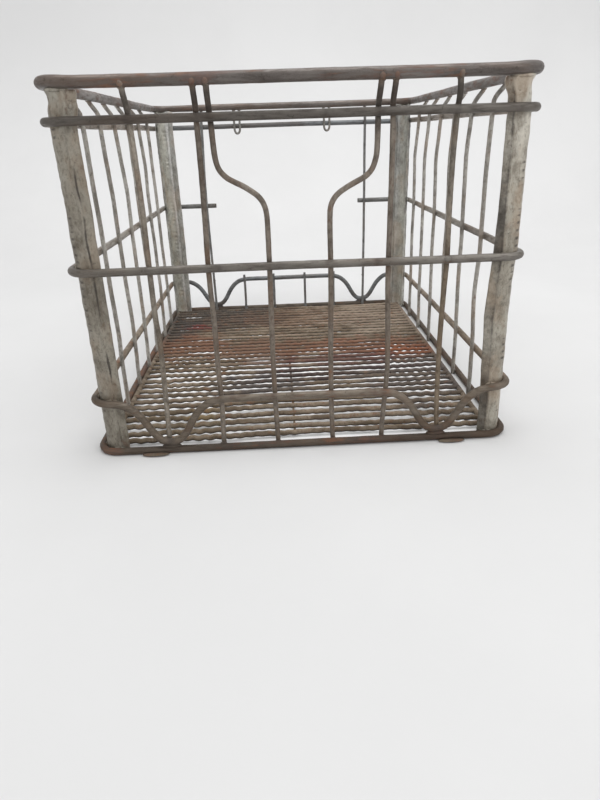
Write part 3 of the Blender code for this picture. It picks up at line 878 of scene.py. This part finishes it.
# the two wires that jog inwards under the hand opening: side, then (distance from x = 0, height)
HAND_WIRES = {
    "hand_wire_left": (-1, (
        (0.0565, 0.2720), (0.0562, 0.2560), (0.0556, 0.2420), (0.0552, 0.2300),
        (0.0545, 0.2230), (0.0525, 0.2166), (0.0480, 0.2115), (0.0420, 0.2080),
        (0.0370, 0.2055), (0.0315, 0.2020), (0.0265, 0.1980), (0.0232, 0.1930),
        (0.0215, 0.1860), (0.0212, 0.1740), (0.0214, 0.1400), (0.0222, 0.0800),
        (0.0220, 0.0350), (0.0213, 0.0012),
    )),
    "hand_wire_right": (1, (
        (0.0582, 0.2720), (0.0570, 0.2560), (0.0568, 0.2400), (0.0565, 0.2260),
        (0.0553, 0.2190), (0.0530, 0.2135), (0.0485, 0.2090), (0.0420, 0.2056),
        (0.0365, 0.2027), (0.0305, 0.1990), (0.0265, 0.1948), (0.0243, 0.1900),
        (0.0236, 0.1840), (0.0235, 0.1700), (0.0238, 0.1380), (0.0230, 0.0700),
        (0.0232, 0.0300), (0.0240, 0.0012),
    )),
}  # fmt: skip


def hand_wear(p):
    crown = smooth(UP_Z - 0.030, UP_Z + 0.012, p.z)
    return wire_wear(p.z, hoop_welds(p.z), 0.75 * crown)


def build_hand_wires():
    for seed, (node, (side, shape)) in enumerate(HAND_WIRES.items(), 21):
        path = []
        for p in spline([(x * side, 0, z) for x, z in shape], 0.0022):
            lean = smooth(UP_Z + 0.0005, RIM_Z - 0.0045, p.z)
            path.append(Vector((p.x, FRONT_IN + (FRONT_OUT - FRONT_IN) * lean, p.z)))
        path.reverse()
        body = Body()
        body.rod(path, FRONT_RADIUS, along_y, hand_wear, seed)
        for at in (UP_Z, MID_Z, LOW_Z + 0.0008, WAVE_HIGH):
            x = min(path, key=lambda p: abs(p.z - at)).x
            spot = (x, FRONT_IN - FRONT_RADIUS * 0.95, at)
            hoop_bead(body, spot, FRONT_RADIUS, seed + at * 31)
        rim_bead(body, path[-1].x, FRONT_OUT, FRONT_RADIUS, seed)
        rim_nugget(body, path[-1].x, seed + 0.5)
        body.piece(node + "_rod", WIRE, node, "wire_steel")


# each side wire as it is bent, seen from the front: (height, shift along y)
SIDE_BENDS = {
    "left_1": (
        (0.003, 0.0001), (0.030, 0.0001), (0.056, 0.0011), (0.072, 0.0031), (0.084, 0.0027),
        (0.104, 0.0015), (0.118, 0.0000), (0.146, -0.0001), (0.176, -0.0003), (0.190, -0.0019),
        (0.206, -0.0031), (0.222, -0.0041), (0.238, -0.0043), (0.250, -0.0055),
        (0.258, -0.0070), (0.269, -0.0145),
    ),
    "left_2": (
        (0.003, -0.0015), (0.020, -0.0017), (0.032, 0.0007), (0.050, 0.0025), (0.072, 0.0044),
        (0.092, 0.0026), (0.112, 0.0003), (0.140, 0.0005), (0.170, -0.0005), (0.188, -0.0004),
        (0.206, -0.0031), (0.224, -0.0055), (0.242, -0.0077), (0.258, -0.0080),
        (0.263, -0.0090), (0.269, -0.0135),
    ),
    "left_3": (
        (0.003, -0.0035), (0.020, -0.0037), (0.032, -0.0017), (0.056, -0.0007), (0.068, 0.0005),
        (0.092, 0.0003), (0.128, 0.0004), (0.152, 0.0004), (0.164, 0.0020), (0.188, 0.0041),
        (0.200, 0.0015), (0.218, -0.0035), (0.230, -0.0064), (0.242, -0.0097),
        (0.256, -0.0125), (0.264, -0.0150), (0.269, -0.0195),
    ),
    "left_4": (
        (0.003, -0.0025), (0.020, -0.0020), (0.032, 0.0015), (0.050, 0.0015), (0.080, 0.0020),
        (0.104, 0.0020), (0.122, 0.0000), (0.152, -0.0005), (0.188, -0.0015), (0.200, -0.0003),
        (0.218, -0.0030), (0.230, -0.0021), (0.242, -0.0039), (0.256, -0.0075),
        (0.264, -0.0115), (0.269, -0.0175),
    ),
    "left_5": (
        (0.003, -0.0020), (0.020, -0.0025), (0.035, -0.0006), (0.056, 0.0020), (0.072, 0.0032),
        (0.092, 0.0010), (0.116, 0.0022), (0.140, -0.0012), (0.164, -0.0008), (0.180, -0.0016),
        (0.206, 0.0018), (0.220, -0.0006), (0.232, -0.0036), (0.242, -0.0070),
        (0.258, -0.0090), (0.264, -0.0110), (0.269, -0.0200),
    ),
    "left_6": (
        (0.003, 0.0020), (0.020, 0.0008), (0.056, 0.0022), (0.086, 0.0007), (0.110, -0.0009),
        (0.128, -0.0006), (0.146, 0.0000), (0.176, 0.0002), (0.196, -0.0012), (0.212, -0.0023),
        (0.232, -0.0024), (0.242, -0.0038), (0.256, -0.0050), (0.263, -0.0070),
        (0.269, -0.0140),
    ),
    "right_1": (
        (0.003, -0.0025), (0.014, -0.0037), (0.038, -0.0029), (0.056, -0.0016), (0.068, 0.0007),
        (0.080, 0.0027), (0.098, 0.0045), (0.110, 0.0033), (0.122, 0.0013), (0.134, -0.0007),
        (0.146, -0.0003), (0.170, 0.0003), (0.206, 0.0005), (0.224, -0.0003), (0.242, -0.0019),
        (0.257, -0.0033), (0.263, -0.0047), (0.269, -0.0125),
    ),
    "right_2": (
        (0.003, -0.0035), (0.044, -0.0035), (0.062, -0.0020), (0.086, 0.0002), (0.104, 0.0011),
        (0.128, 0.0004), (0.146, 0.0004), (0.170, 0.0017), (0.188, 0.0027), (0.206, 0.0039),
        (0.215, 0.0045), (0.224, 0.0031), (0.236, 0.0001), (0.250, -0.0031), (0.260, -0.0071),
        (0.265, -0.0100), (0.269, -0.0155),
    ),
    "right_3": (
        (0.003, -0.0020), (0.030, -0.0010), (0.056, -0.0023), (0.090, -0.0001), (0.116, 0.0015),
        (0.146, -0.0005), (0.170, 0.0000), (0.190, 0.0018), (0.212, 0.0024), (0.230, -0.0010),
        (0.242, -0.0035), (0.256, -0.0060), (0.263, -0.0090), (0.269, -0.0160),
    ),
    "right_4": (
        (0.003, -0.0052), (0.020, -0.0041), (0.050, -0.0030), (0.086, -0.0008), (0.110, 0.0014),
        (0.128, 0.0006), (0.146, -0.0004), (0.164, 0.0013), (0.188, 0.0033), (0.206, 0.0052),
        (0.218, 0.0030), (0.230, -0.0010), (0.242, -0.0040), (0.256, -0.0090),
        (0.264, -0.0130), (0.269, -0.0170),
    ),
    "right_5": (
        (0.003, -0.0025), (0.020, -0.0030), (0.050, -0.0002), (0.080, -0.0007), (0.104, 0.0000),
        (0.140, 0.0002), (0.158, 0.0014), (0.176, 0.0017), (0.196, 0.0038), (0.212, 0.0024),
        (0.224, -0.0010), (0.236, -0.0054), (0.242, -0.0070), (0.256, -0.0100),
        (0.264, -0.0140), (0.269, -0.0200),
    ),
    "right_6": (
        (0.003, -0.0010), (0.020, -0.0020), (0.062, -0.0010), (0.090, 0.0004), (0.110, 0.0010),
        (0.122, 0.0003), (0.146, -0.0012), (0.170, 0.0002), (0.188, 0.0016), (0.206, 0.0038),
        (0.218, 0.0001), (0.230, -0.0040), (0.242, -0.0080), (0.256, -0.0120),
        (0.263, -0.0160), (0.269, -0.0240),
    ),
}  # fmt: skip
# the viewpoint the bends are given from, and the cosine and sine of its downward tilt
VIEW_X, VIEW_Y, VIEW_Z = -0.0145, -0.633, 0.238
VIEW_COS, VIEW_SIN = 0.923, 0.384
MAX_BULGE = 0.0026  # at the rim


def split_bends(bends, sign, line):
    """Splits a side wire's bends into a part along the side and a bulge outwards.

    The wire stays where it is at each hoop. Between hoops all of the rest bulges, and above
    the upper hoop too, up to MAX_BULGE at the rim."""
    levels = (LOW_Z, WAVE_HIGH, MID_Z, UP_Z)

    def turn(z):
        """The outward bulge that looks the same as a unit shift along the side."""
        depth = (line - VIEW_Y) * VIEW_COS + (VIEW_Z - z) * VIEW_SIN
        return abs(sign * SIDE_IN - VIEW_X) * VIEW_COS / depth

    leaning = abs(knots(bends, RIM_Z) - knots(bends, UP_Z)) * turn(RIM_Z)
    share = max(0.0, 1.0 - MAX_BULGE / max(leaning, 0.0001))

    def along(z):
        if z > UP_Z:
            return knots(bends, UP_Z) + share * (knots(bends, z) - knots(bends, UP_Z))
        low, high = next(pair for pair in zip(levels, levels[1:]) if z <= pair[1])
        t = max(0.0, (z - low) / (high - low))
        return knots(bends, low) + (knots(bends, high) - knots(bends, low)) * t

    def bow(z):
        return -(knots(bends, z) - along(z)) * turn(z)

    return [(k * 0.004, along(k * 0.004)) for k in range(69)], bow


def build_side_wires():
    for i, (place, seen) in enumerate(SIDE_BENDS.items()):
        node = f"side_wire_{place}"
        sign = -1 if "left" in place else 1
        bends, bow = split_bends(seen, sign, middle(node).y)
        body, _end = upright(
            node, 1, SIDE_RADIUS, sign * SIDE_IN, sign * SIDE_OUT, bends,
            seed=41.0 + i, dark=0.5, lean_from=0.0060, bow=bow,
        )  # fmt: skip
        body.piece(node + "_rod", SIDE_WIRE, node, "wire_steel")


# the tall back wires' bends: (height, shift in x)
REAR_BENDS = {
    "rear_wire_left": ((0.003, -0.0012), (0.158, -0.0030), (0.250, -0.0006), (0.271, 0.0)),
    "rear_wire_right": ((0.003, 0.0), (0.150, 0.0004), (0.271, 0.0006)),
}


def build_rear_wires():
    for i, (node, bends) in enumerate(REAR_BENDS.items()):
        body, _end = upright(
            node, 0, REAR_RADIUS, REAR_IN, HALF_Y, bends, seed=61.0 + i, dark=0.2
        )
        body.piece(node + "_rod", REAR, node, "rear_steel")


def short_wear(p):
    return 0.15, 0.25 + 0.4 * smooth(0.012, 0.004, p.z)


def build_short_rear_wires():
    steps = 22
    for i in range(1, 5):
        node = f"rear_short_wire_{i}"
        low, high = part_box(node)
        x = (low.x + high.x) / 2
        path = []
        for k in range(steps + 1):
            stray = wander(70 + i, k / steps, 0.5) * 0.0006
            path.append(Vector((x + stray, REAR_IN, low.z + (high.z - low.z) * k / steps)))
        body = Body()
        body.rod(path, REAR_RADIUS, along_x, short_wear, 70.0 + i, sides=12, reach=1.4)
        size = (REAR_RADIUS * 1.5, REAR_RADIUS * 0.45, REAR_RADIUS)
        for at in (LOW_Z + 0.0005, WAVE_HIGH):
            spot = (x, REAR_IN + REAR_RADIUS * 0.95, at)
            body.weld(spot, size, 71 + i + at, rust=0.3, dark=0.5)
        body.piece(node + "_rod", REAR, node, "rear_steel")


def build_hairpins():
    """The hairpins between the rim and the upper hoop, at the back."""
    radius = 0.0014
    for i, node in enumerate(("rim_strut_left", "rim_strut_right")):
        low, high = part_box(node)
        x = (low.x + high.x) / 2
        half = (high.x - low.x) / 2 - radius - 0.0006
        y = low.y + radius
        floor_z = low.z + radius
        # one leg from the top down: distance from the middle, y, z
        leg = (
            (half + 0.0006, HALF_Y, high.z + 0.0020),
            (half + 0.0004, HALF_Y - 0.0010, high.z - 0.0030),
            (half + 0.0002, y + 0.0008, UP_Z + 0.0080),
            (half, y, UP_Z + 0.0030),
            (half, y, UP_Z - 0.0030),
            (half * 0.92, y, floor_z + half * 0.95),
            (half * 0.55, y, floor_z + half * 0.22),
        )
        shape = [(x - out, *rest) for out, *rest in leg]
        shape += [(x, y, floor_z)]
        shape += [(x + out, *rest) for out, *rest in reversed(leg)]
        body = Body()
        path = spline(shape, 0.0011)
        body.rod(path, radius, along_y, lambda p: (0.10, 0.20), 81.0 + i, sides=12)
        ring_size = (radius * 1.5, radius * 0.5, radius * 1.2)
        rim_size = (radius * 1.6, radius * 1.6, radius * 0.8)
        for side in (-1, 1):
            leg_x = x + side * half
            body.weld((leg_x, y + radius, UP_Z), ring_size, 82 + side, rust=0.3, dark=0.5)
            spot = (leg_x, HALF_Y, RIM_Z - RIM_RADIUS * 0.95)
            body.weld(spot, rim_size, 83 + side, rust=0.6, dark=0.4)
        body.piece(node + "_rod", PIN, node, "rear_steel")


# ---- corner posts -----------------------------------------------------------
SHEET = 0.0016
REACH = 0.0198  # width of each face
POST_RADIUS = 0.0098  # round the corner
RIDGE_AT = 0.0128  # from the corner
FACE_X = HALF_X - RING_RADIUS - 0.0005
FACE_Y = HALF_Y - RING_RADIUS - 0.0010

# how each post is bent: (height, how far it leans inwards)
POST_LEAN = {
    "front_left": (
        (0.003, 0.0008), (0.140, 0.0008), (0.170, 0.0), (0.190, 0.0006), (0.205, 0.0003),
        (0.230, 0.0), (0.250, -0.0002), (0.2555, 0.0003), (0.260, 0.0022), (0.268, 0.0019),
        (0.272, 0.0012),
    ),
    "front_right": (
        (0.003, 0.0), (0.060, 0.0002), (0.084, 0.0005), (0.100, 0.0011), (0.112, 0.0005),
        (0.128, 0.0006), (0.140, 0.0), (0.156, -0.0008), (0.172, -0.0008), (0.188, -0.0005),
        (0.210, -0.0001), (0.228, -0.0003), (0.240, 0.0002), (0.250, 0.0004), (0.2555, 0.0016),
        (0.260, 0.0028), (0.268, 0.0021), (0.272, 0.0014),
    ),
    "rear_left": (
        (0.003, 0.0), (0.120, 0.0004), (0.200, 0.0), (0.250, 0.0), (0.260, 0.0016),
        (0.272, 0.0008),
    ),
    "rear_right": (
        (0.003, 0.0), (0.140, 0.0003), (0.210, -0.0002), (0.250, 0.0), (0.260, 0.0016),
        (0.272, 0.0008),
    ),
}  # fmt: skip
# (height, how much longer its faces are)
REAR_REACH = ((0.003, 0.0), (0.250, 0.0), (0.262, -0.0008), (0.272, 0.0004))
POST_REACH = {
    "front_left": (
        (0.003, -0.0006), (0.140, -0.0006), (0.170, 0.0), (0.244, -0.0002), (0.2565, 0.0014),
        (0.262, 0.0002), (0.268, 0.0016), (0.272, 0.0018),
    ),
    "front_right": (
        (0.003, -0.0010), (0.036, -0.0009), (0.060, -0.0001), (0.084, 0.0002), (0.098, 0.0005),
        (0.112, 0.0006), (0.124, 0.0), (0.140, -0.0004), (0.160, -0.0002), (0.180, -0.0009),
        (0.204, -0.0013), (0.228, -0.0011), (0.242, -0.0013), (0.252, -0.0016),
        (0.258, -0.0022), (0.262, -0.0006), (0.266, 0.0010), (0.272, 0.0012),
    ),
    "rear_left": REAR_REACH,
    "rear_right": REAR_REACH,
}  # fmt: skip
# place, side, back, material, then as in post_body: ridge_up, strip_dark, line_dark, line_top, marks
POSTS = (
    ("front_left", -1, -1, POST, 0.0, 0.10, 1.00, 0.232, 0.0006),
    ("front_right", 1, -1, RIGHT_POST, 0.0014, 0.74, 0.30, 0.300, 0.0007),
    ("rear_left", -1, 1, REAR_POST, 0.0, 0.22, 0.45, 0.300, 0.0009),
    ("rear_right", 1, 1, RIGHT_REAR_POST, 0.0, 0.30, 0.35, 0.300, 0.0009),
)


def post_body(place, side, back, seed, ridge_up, strip_dark, line_dark, line_top, marks):
    """A pressed angle: a panel by the corner, a ridge, and a strip that falls away to the edge.

    side is -1 at the left and 1 at the right, back is -1 at the front and 1 at the back.
    ridge_up is how far the ridge strays to the free edge at the top, strip_dark is painted shade
    on the strip, line_dark how dark the line by the ridge is, line_top is where that line starts,
    marks the height of its raised marks."""
    low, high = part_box(f"corner_post_{place}")
    # stations across a face, from the free edge, then turns round the corner
    flat = [REACH - (REACH - POST_RADIUS) * k / 30 for k in range(30)]
    turns = [math.radians(90 * k / 16) for k in range(17)]
    mark_turn = math.radians(34 if back < 0 else 14)
    mark_dark = 0.75 if back < 0 else 0.05
    levels = 240
    body = Body()
    rows = []
    for i in range(levels + 1):
        z = low.z + (high.z + 0.0010 - low.z) * i / levels
        forward = 0.0022 * smooth(UP_Z + 0.0040, high.z, z)
        # the top swells a little above the upper hoop, necks in and spreads under the rim
        swell = 0.0011 * bell(z - 0.2588, 0.0034) + 0.0010 * smooth(0.2662, 0.2690, z)
        swell += 0.00045 * wander(seed + 12, z, 0.010) + 0.00025 * wander(seed + 13, z, 0.004)
        pull = knots(POST_LEAN[place], z)
        ridge = RIDGE_AT + ridge_up * smooth(0.10, 0.22, z) + 0.0004 * wander(seed + 15, z, 0.05)
        trim = -knots(POST_REACH[place], z) + 0.0003 * wander(seed, z, 0.03)

        # the broken dark line beside the ridge
        line_at = ridge + 0.0013 + 0.0006 * wander(seed + 9, z, 0.02)
        line_width = 0.0008 + 0.0004 * wander(seed + 10, z, 0.012)
        line_share = 0.55 + 1.2 * wander(seed + 5, z, 0.022) + 0.3 * wander(seed + 11, z, 0.006)
        line_share = max(0.0, line_share) * smooth(line_top + 0.004, line_top - 0.012, z)

        # wear that depends on height only: the foot, the crown and the hoop welds
        level_rust = 0.35 * smooth(0.030, 0.004, z) + 0.25 * smooth(0.246, 0.262, z)
        level_dark = 0.20 * bell(z - UP_Z, 0.006) + 0.16 * bell(z - MID_Z, 0.006)
        # painted shade on the strip that falls away to the edge, uneven with height
        strip_level = strip_dark * (0.75 + 0.5 * wander(seed + 8, z, 0.05))
        corner_dark = 0.20 * (0.6 + wander(seed + 7, z, 0.012))

        # small raised marks in a column round the bend of the corner
        mark_level = 0.0
        if 0.020 < z < 0.246:
            beat = math.sin(z * 2 * math.pi / 0.0052 + 2.2 * wander(seed + 2, z, 0.013))
            here = smooth(-0.10, 0.15, wander(seed + 4, z, 0.022))
            mark_level = marks * smooth(0.1, 0.7, beat) * here
        outer, inner = [], []

        def add(x_in, y_in, nx, ny, s, mark):
            """A point x_in, y_in from the faces, with its normal; s is its station."""
            lift = 0.0
            if s > POST_RADIUS:
                lift = 0.0011 * bell(s - ridge, 0.0013)
                lift -= 0.0030 * smooth(ridge + 0.0004, REACH + 0.0020, s)
            lift += mark + 0.00030 * noise.noise(Vector((s * 110, z * 34, seed)))
            lift += 0.00012 * noise.noise(Vector((s * 420, z * 300, seed)))
            at_x = FACE_X - pull - x_in + swell * (0.4 + 0.6 * nx)
            at_y = FACE_Y - y_in + forward
            strip = smooth(ridge + 0.0004, ridge + 0.0020, s)
            spot = max(0.0, wander(seed + 6, z + s * 2, 0.014))
            rust = 0.08 + 0.15 * strip + level_rust + 0.4 * spot
            # strip_level times strip is the painted shade on the strip
            dark = 0.03 + strip_level * strip + level_dark
            dark += line_dark * line_share * bell(s - line_at, line_width)
            dark += mark_dark * abs(mark) / 0.0006 + corner_dark * smooth(0.45, 0.9, nx)
            # the outer faces of the back posts are made darker, so the painted light of their pale
            # material stays on their inside faces
            for points, depth, extra in (
                (outer, lift, 0.30 if back > 0 else 0.0),
                (inner, lift - SHEET, 0.0),
            ):
                at = ((at_x + nx * depth) * side, (at_y + ny * depth) * back, z)
                points.append((at, rust, dark + extra))

        for s in flat:
            add(s - trim * smooth(POST_RADIUS, REACH, s), 0.0, 0.0, 1.0, s, 0.0)
        for turn in turns:
            nx, ny = math.sin(turn), math.cos(turn)
            mark = mark_level * bell(turn - mark_turn, math.radians(13))
            add(POST_RADIUS - POST_RADIUS * nx, POST_RADIUS - POST_RADIUS * ny, nx, ny, 0.0, mark)
        for s in reversed(flat):
            add(0.0, s - trim * smooth(POST_RADIUS, REACH, s), 1.0, 0.0, s, 0.0)
        rows.append([body.point(*entry) for entry in outer + inner[::-1]])
    count = len(rows[0])
    flip = side * back > 0
    for one, two in zip(rows, rows[1:]):
        for k in range(count):
            m = (k + 1) % count
            quad = (one[k], one[m], two[m], two[k])
            body.faces.append(quad[::-1] if flip else quad)
    for row, under in ((rows[0], True), (rows[-1], False)):
        for k in range(count // 2 - 1):
            quad = (row[k], row[k + 1], row[count - 2 - k], row[count - 1 - k])
            body.faces.append(quad[::-1] if under != flip else quad)
    return body


def build_posts():
    wear = {"rust": 0.25, "dark": 0.35}
    for seed, (place, side, back, material, *looks) in enumerate(POSTS, 91):
        node = f"corner_post_{place}"
        body = post_body(place, side, back, float(seed), *looks)
        # welds to the hoops at both faces
        x, y = side * (FACE_X + 0.0003), back * (FACE_Y + 0.0004)
        for k, at in enumerate((UP_Z, MID_Z, WAVE_HIGH, LOW_Z)):
            body.weld((x - side * 0.0125, y, at), (0.0050, 0.0009, 0.0026), seed + k, **wear)
            body.weld((x, y - back * 0.0125, at), (0.0009, 0.0050, 0.0026), seed + k + 9, **wear)
        # and to the underside of the rim
        spot = (side * (HALF_X - 0.0150), back * (HALF_Y - 0.0022), RIM_Z - RIM_RADIUS * 0.92)
        body.weld(spot, (0.0078, 0.0022, 0.0015), seed + 20, **wear)
        body.piece(node + "_angle", material, node, "post_steel")


# ---- floor ------------------------------------------------------------------
mat_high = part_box("floor_mat")[1]
EDGE_RADIUS = 0.0024
RIGHT_X = mat_high.x - EDGE_RADIUS
LEFT_X = -(HALF_X - RING_RADIUS - 0.0034)
MAT_RADIUS = 0.00203
MAT_Z = mat_high.z - MAT_RADIUS
TIE_X = -0.0070
# y of the lines the mat's cross wires lie between, front to back
LINES = (
    -0.1976, -0.1842, -0.1694, -0.1561, -0.1429, -0.1298, -0.1165, -0.1033, -0.0911,
    -0.0790, -0.0676, -0.0550, -0.0405, -0.0285, -0.0158, -0.0045, 0.0078, 0.0190,
    0.0310, 0.0418, 0.0530, 0.0644, 0.0764, 0.0867, 0.0975, 0.1098, 0.1212,
    0.1336, 0.1446, 0.1556, 0.1682, 0.1796, 0.1898, 0.2007,
)  # fmt: skip


def mat_wire_path(y, seed):
    """A crimped cross wire of the mat, held straight near its ends."""
    skew = 0.0030 * smooth(-0.02, -0.12, y)
    crimp = 0.0095 + 0.0030 * wander(seed, 0.5, 1.0)
    steps = 210
    path = []
    for i in range(steps + 1):
        x = LEFT_X + 0.0004 + (RIGHT_X - LEFT_X - 0.0008) * i / steps
        held = min(smooth(0.0, 0.020, RIGHT_X - x), smooth(0.0, 0.020, x - LEFT_X))
        beat = math.sin(2 * math.pi * x / crimp + seed * 1.7 + 2.5 * wander(seed + 0.8, x, 0.03))
        # the crimp is stronger towards the sides, in the front half
        sides = (smooth(-0.050, -0.078, x) + smooth(0.088, 0.108, x)) * smooth(0.060, 0.0, y)
        stronger = (0.7 + 1.5 * abs(wander(seed + 0.95, x, 0.017))) * sides
        beat *= 0.35 + 1.3 * abs(wander(seed + 0.9, x, 0.035)) + stronger
        sway = 0.0019 * wander(seed, x, 0.055) + 0.0009 * wander(seed + 0.3, x, 0.021)
        sway += 0.00022 * beat
        lift = 0.0007 * wander(seed + 0.6, x, 0.030) + 0.00020 * beat
        at_y = y - skew * smooth(-0.01, -0.09, x) + sway * held
        path.append(Vector((x, at_y, MAT_Z - 0.0004 + lift * held)))
    return path


def mat_wear(p):
    return 0.2, 0.25 * smooth(0.020, 0.0, min(RIGHT_X - p.x, p.x - LEFT_X))


def lengthwise(x, z, seed, period, start, stop):
    """A bar from front to back; start and stop are in millimetres."""
    return [
        Vector((x + wander(seed, y / 1000, period) * 0.0004, y / 1000, z))
        for y in range(start, stop, 4)
    ]


def build_floor():
    body = Body()
    for k, (near, far) in enumerate(zip(LINES, LINES[1:])):
        y = (near + far) / 2 - 0.0035
        if k == 0:
            y += 0.0036  # the first wire lies further back
        seed = 101.0 + k
        thick = MAT_RADIUS * (1.0 + 0.15 * smooth(-0.090, -0.150, y))
        thick *= 1.0 + 0.04 * wander(seed, 0.9, 1.0)
        path = mat_wire_path(y, seed)
        body.rod(path, thick, along_y, mat_wear, seed, sides=10, ripple=0.07)
    for side, x in ((-1, LEFT_X), (1, RIGHT_X)):
        path = lengthwise(x, LOW_Z, 140 + side, 0.08, -200, 197)
        body.rod(path, EDGE_RADIUS, along_x, lambda p: (0.4, 0.20), 140.0 + side, sides=12)
    # a thin tie under the middle
    path = lengthwise(TIE_X, MAT_Z - 0.0024, 150, 0.06, -192, 196)
    body.rod(path, 0.0010, along_x, lambda p: (0.3, 0.2), 150.0, sides=8, ripple=0.04)
    body.piece("floor_wires", FLOOR, "floor_mat", "floor_steel")


# ---- stacking lugs ----------------------------------------------------------
def build_lugs():
    rows, around = 9, 40
    for node in ("stacking_lug_left", "stacking_lug_right"):
        low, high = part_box(node)
        centre_x = ((low + high) / 2).x
        half_x, deep, tall = (high.x - low.x) / 2, high.y - low.y, high.z - low.z
        body = Body()
        made = []
        for i in range(rows + 1):
            t = i / rows
            edge = math.sin(math.pi * (0.06 + 0.88 * t)) ** 0.45
            z = low.z + tall * t
            ring = []
            for k in range(around):
                turn = 2 * math.pi * k / around
                out = math.sin(turn)
                x = centre_x + math.cos(turn) * half_x * edge
                y = high.y - max(out, 0.0) ** 0.8 * deep * edge - (0.0004 if out > 0 else 0.0)
                y += 0.0002 * noise.noise(Vector((x, y, z)) * 300)
                ring.append(body.point((x, y, z), rust=0.8, dark=0.25))
            made.append(ring)
        for one, two in zip(made, made[1:]):
            for k in range(around):
                m = (k + 1) % around
                body.faces.append((one[k], two[k], two[m], one[m]))
        body.faces.append(tuple(made[0]))
        body.faces.append(tuple(reversed(made[-1])))
        body.piece(node + "_plate", LUG, node, "lug_steel")


# ---- stage, light and camera ------------------------------------------------
def backdrop_paint():
    grey = 0.66
    mat = Graph("backdrop_paint")
    share = mat.ramp(mat.noise(scale=3.0, detail=5, rough=0.6), start=0.35, end=0.65)
    mat.output(mat.mix(share, (grey * 0.97,) * 3, (grey,) * 3), "Base Color")
    mat.shader.inputs["Roughness"].default_value = 0.85
    mat.bump(mat.noise(scale=240, detail=3), strength=0.05, distance=0.001)
    return mat.material


def build_backdrop():
    """A floor that curves up into a wall behind the crate."""
    start, bend = 0.55, 0.55
    rows = [(-4.0, 0.0), (-1.5, 0.0), (-0.5, 0.0), (start, 0.0)]
    for k in range(1, 17):
        angle = math.radians(90 * k / 16)
        rows.append((start + bend * math.sin(angle), bend - bend * math.cos(angle)))
    rows += [(start + bend, 1.5), (start + bend, 3.2)]
    xs = (-4.0, -1.5, 0.0, 1.5, 4.0)
    points = [(x, y, z - 0.0001) for y, z in rows for x in xs]
    wide = len(xs)
    faces = []
    for i in range(len(rows) - 1):
        for j in range(wide - 1):
            k = i * wide + j
            faces.append((k, k + 1, k + wide + 1, k + wide))
    mesh = bpy.data.meshes.new("backdrop")
    mesh.from_pydata(points, [], faces)
    mesh.shade_smooth()
    mesh.materials.append(backdrop_paint())
    obj = bpy.data.objects.new("backdrop", mesh)
    scene.collection.objects.link(obj)


def softbox(name, place, target, size, power):
    light = bpy.data.lights.new(name, "AREA")
    light.shape = "RECTANGLE"
    light.size, light.size_y = size
    light.energy = power
    obj = bpy.data.objects.new(name, light)
    obj.location = place
    aim = Vector(target) - Vector(place)
    obj.rotation_euler = aim.to_track_quat("-Z", "Y").to_euler()
    scene.collection.objects.link(obj)


# name, place, target, size, power
SOFTBOXES = (
    ("overhead", (0.1, 0.1, 1.9), (0.0, 0.0, 0.1), (1.8, 1.6), 14.0),
    ("front_right", (1.3, -1.5, 1.3), (0.0, 0.0, 0.15), (1.2, 1.2), 9.0),
    ("wall_wash", (0.0, -0.2, 2.4), (0.0, 1.1, 0.7), (2.4, 0.8), 16.0),
    # the ground seen through the mat is as bright as the ground around it
    ("under_mat", (0.0, 0.0, 0.0024), (0.0, 0.0, 0.0), (0.312, 0.394), 0.26),
)


def build_lights():
    world = bpy.data.worlds.new("studio")
    scene.world = world
    world.use_nodes = True
    background = world.node_tree.nodes["Background"]
    background.inputs["Color"].default_value = (1.0, 1.0, 1.0, 1.0)
    background.inputs["Strength"].default_value = 0.75
    for box in SOFTBOXES:
        softbox(*box)


def build_camera():
    camera = bpy.data.cameras.new("camera")
    camera.sensor_width = 36.0
    camera.lens = 26.284266
    camera.shift_x = 0.00089425
    camera.shift_y = -0.027553625
    camera.clip_start = 0.01
    place = (-0.014485, -0.633300, 0.237704)
    yaw, pitch, roll = 0.0285439, 0.3952948, -0.0339342  # right, down, about the view
    flat = math.cos(pitch)
    forward = Vector((math.sin(yaw) * flat, math.cos(yaw) * flat, -math.sin(pitch)))
    right = Vector((math.cos(yaw), -math.sin(yaw), 0.0))
    up = right.cross(forward)
    right_rolled = math.cos(roll) * right + math.sin(roll) * up
    up_rolled = -math.sin(roll) * right + math.cos(roll) * up
    eye = bpy.data.objects.new("camera", camera)
    turn = Matrix((right_rolled, up_rolled, -forward)).transposed()
    eye.matrix_world = Matrix.Translation(place) @ turn.to_4x4()
    scene.collection.objects.link(eye)
    scene.camera = eye
    scene.view_settings.view_transform = "Standard"


build_plain_hoops()
build_middle_hoop()
build_wavy_hoop()
build_front_wires()
build_hand_wires()
build_side_wires()
build_rear_wires()
build_short_rear_wires()
build_hairpins()
build_posts()
build_floor()
build_lugs()
build_backdrop()
build_lights()
build_camera()
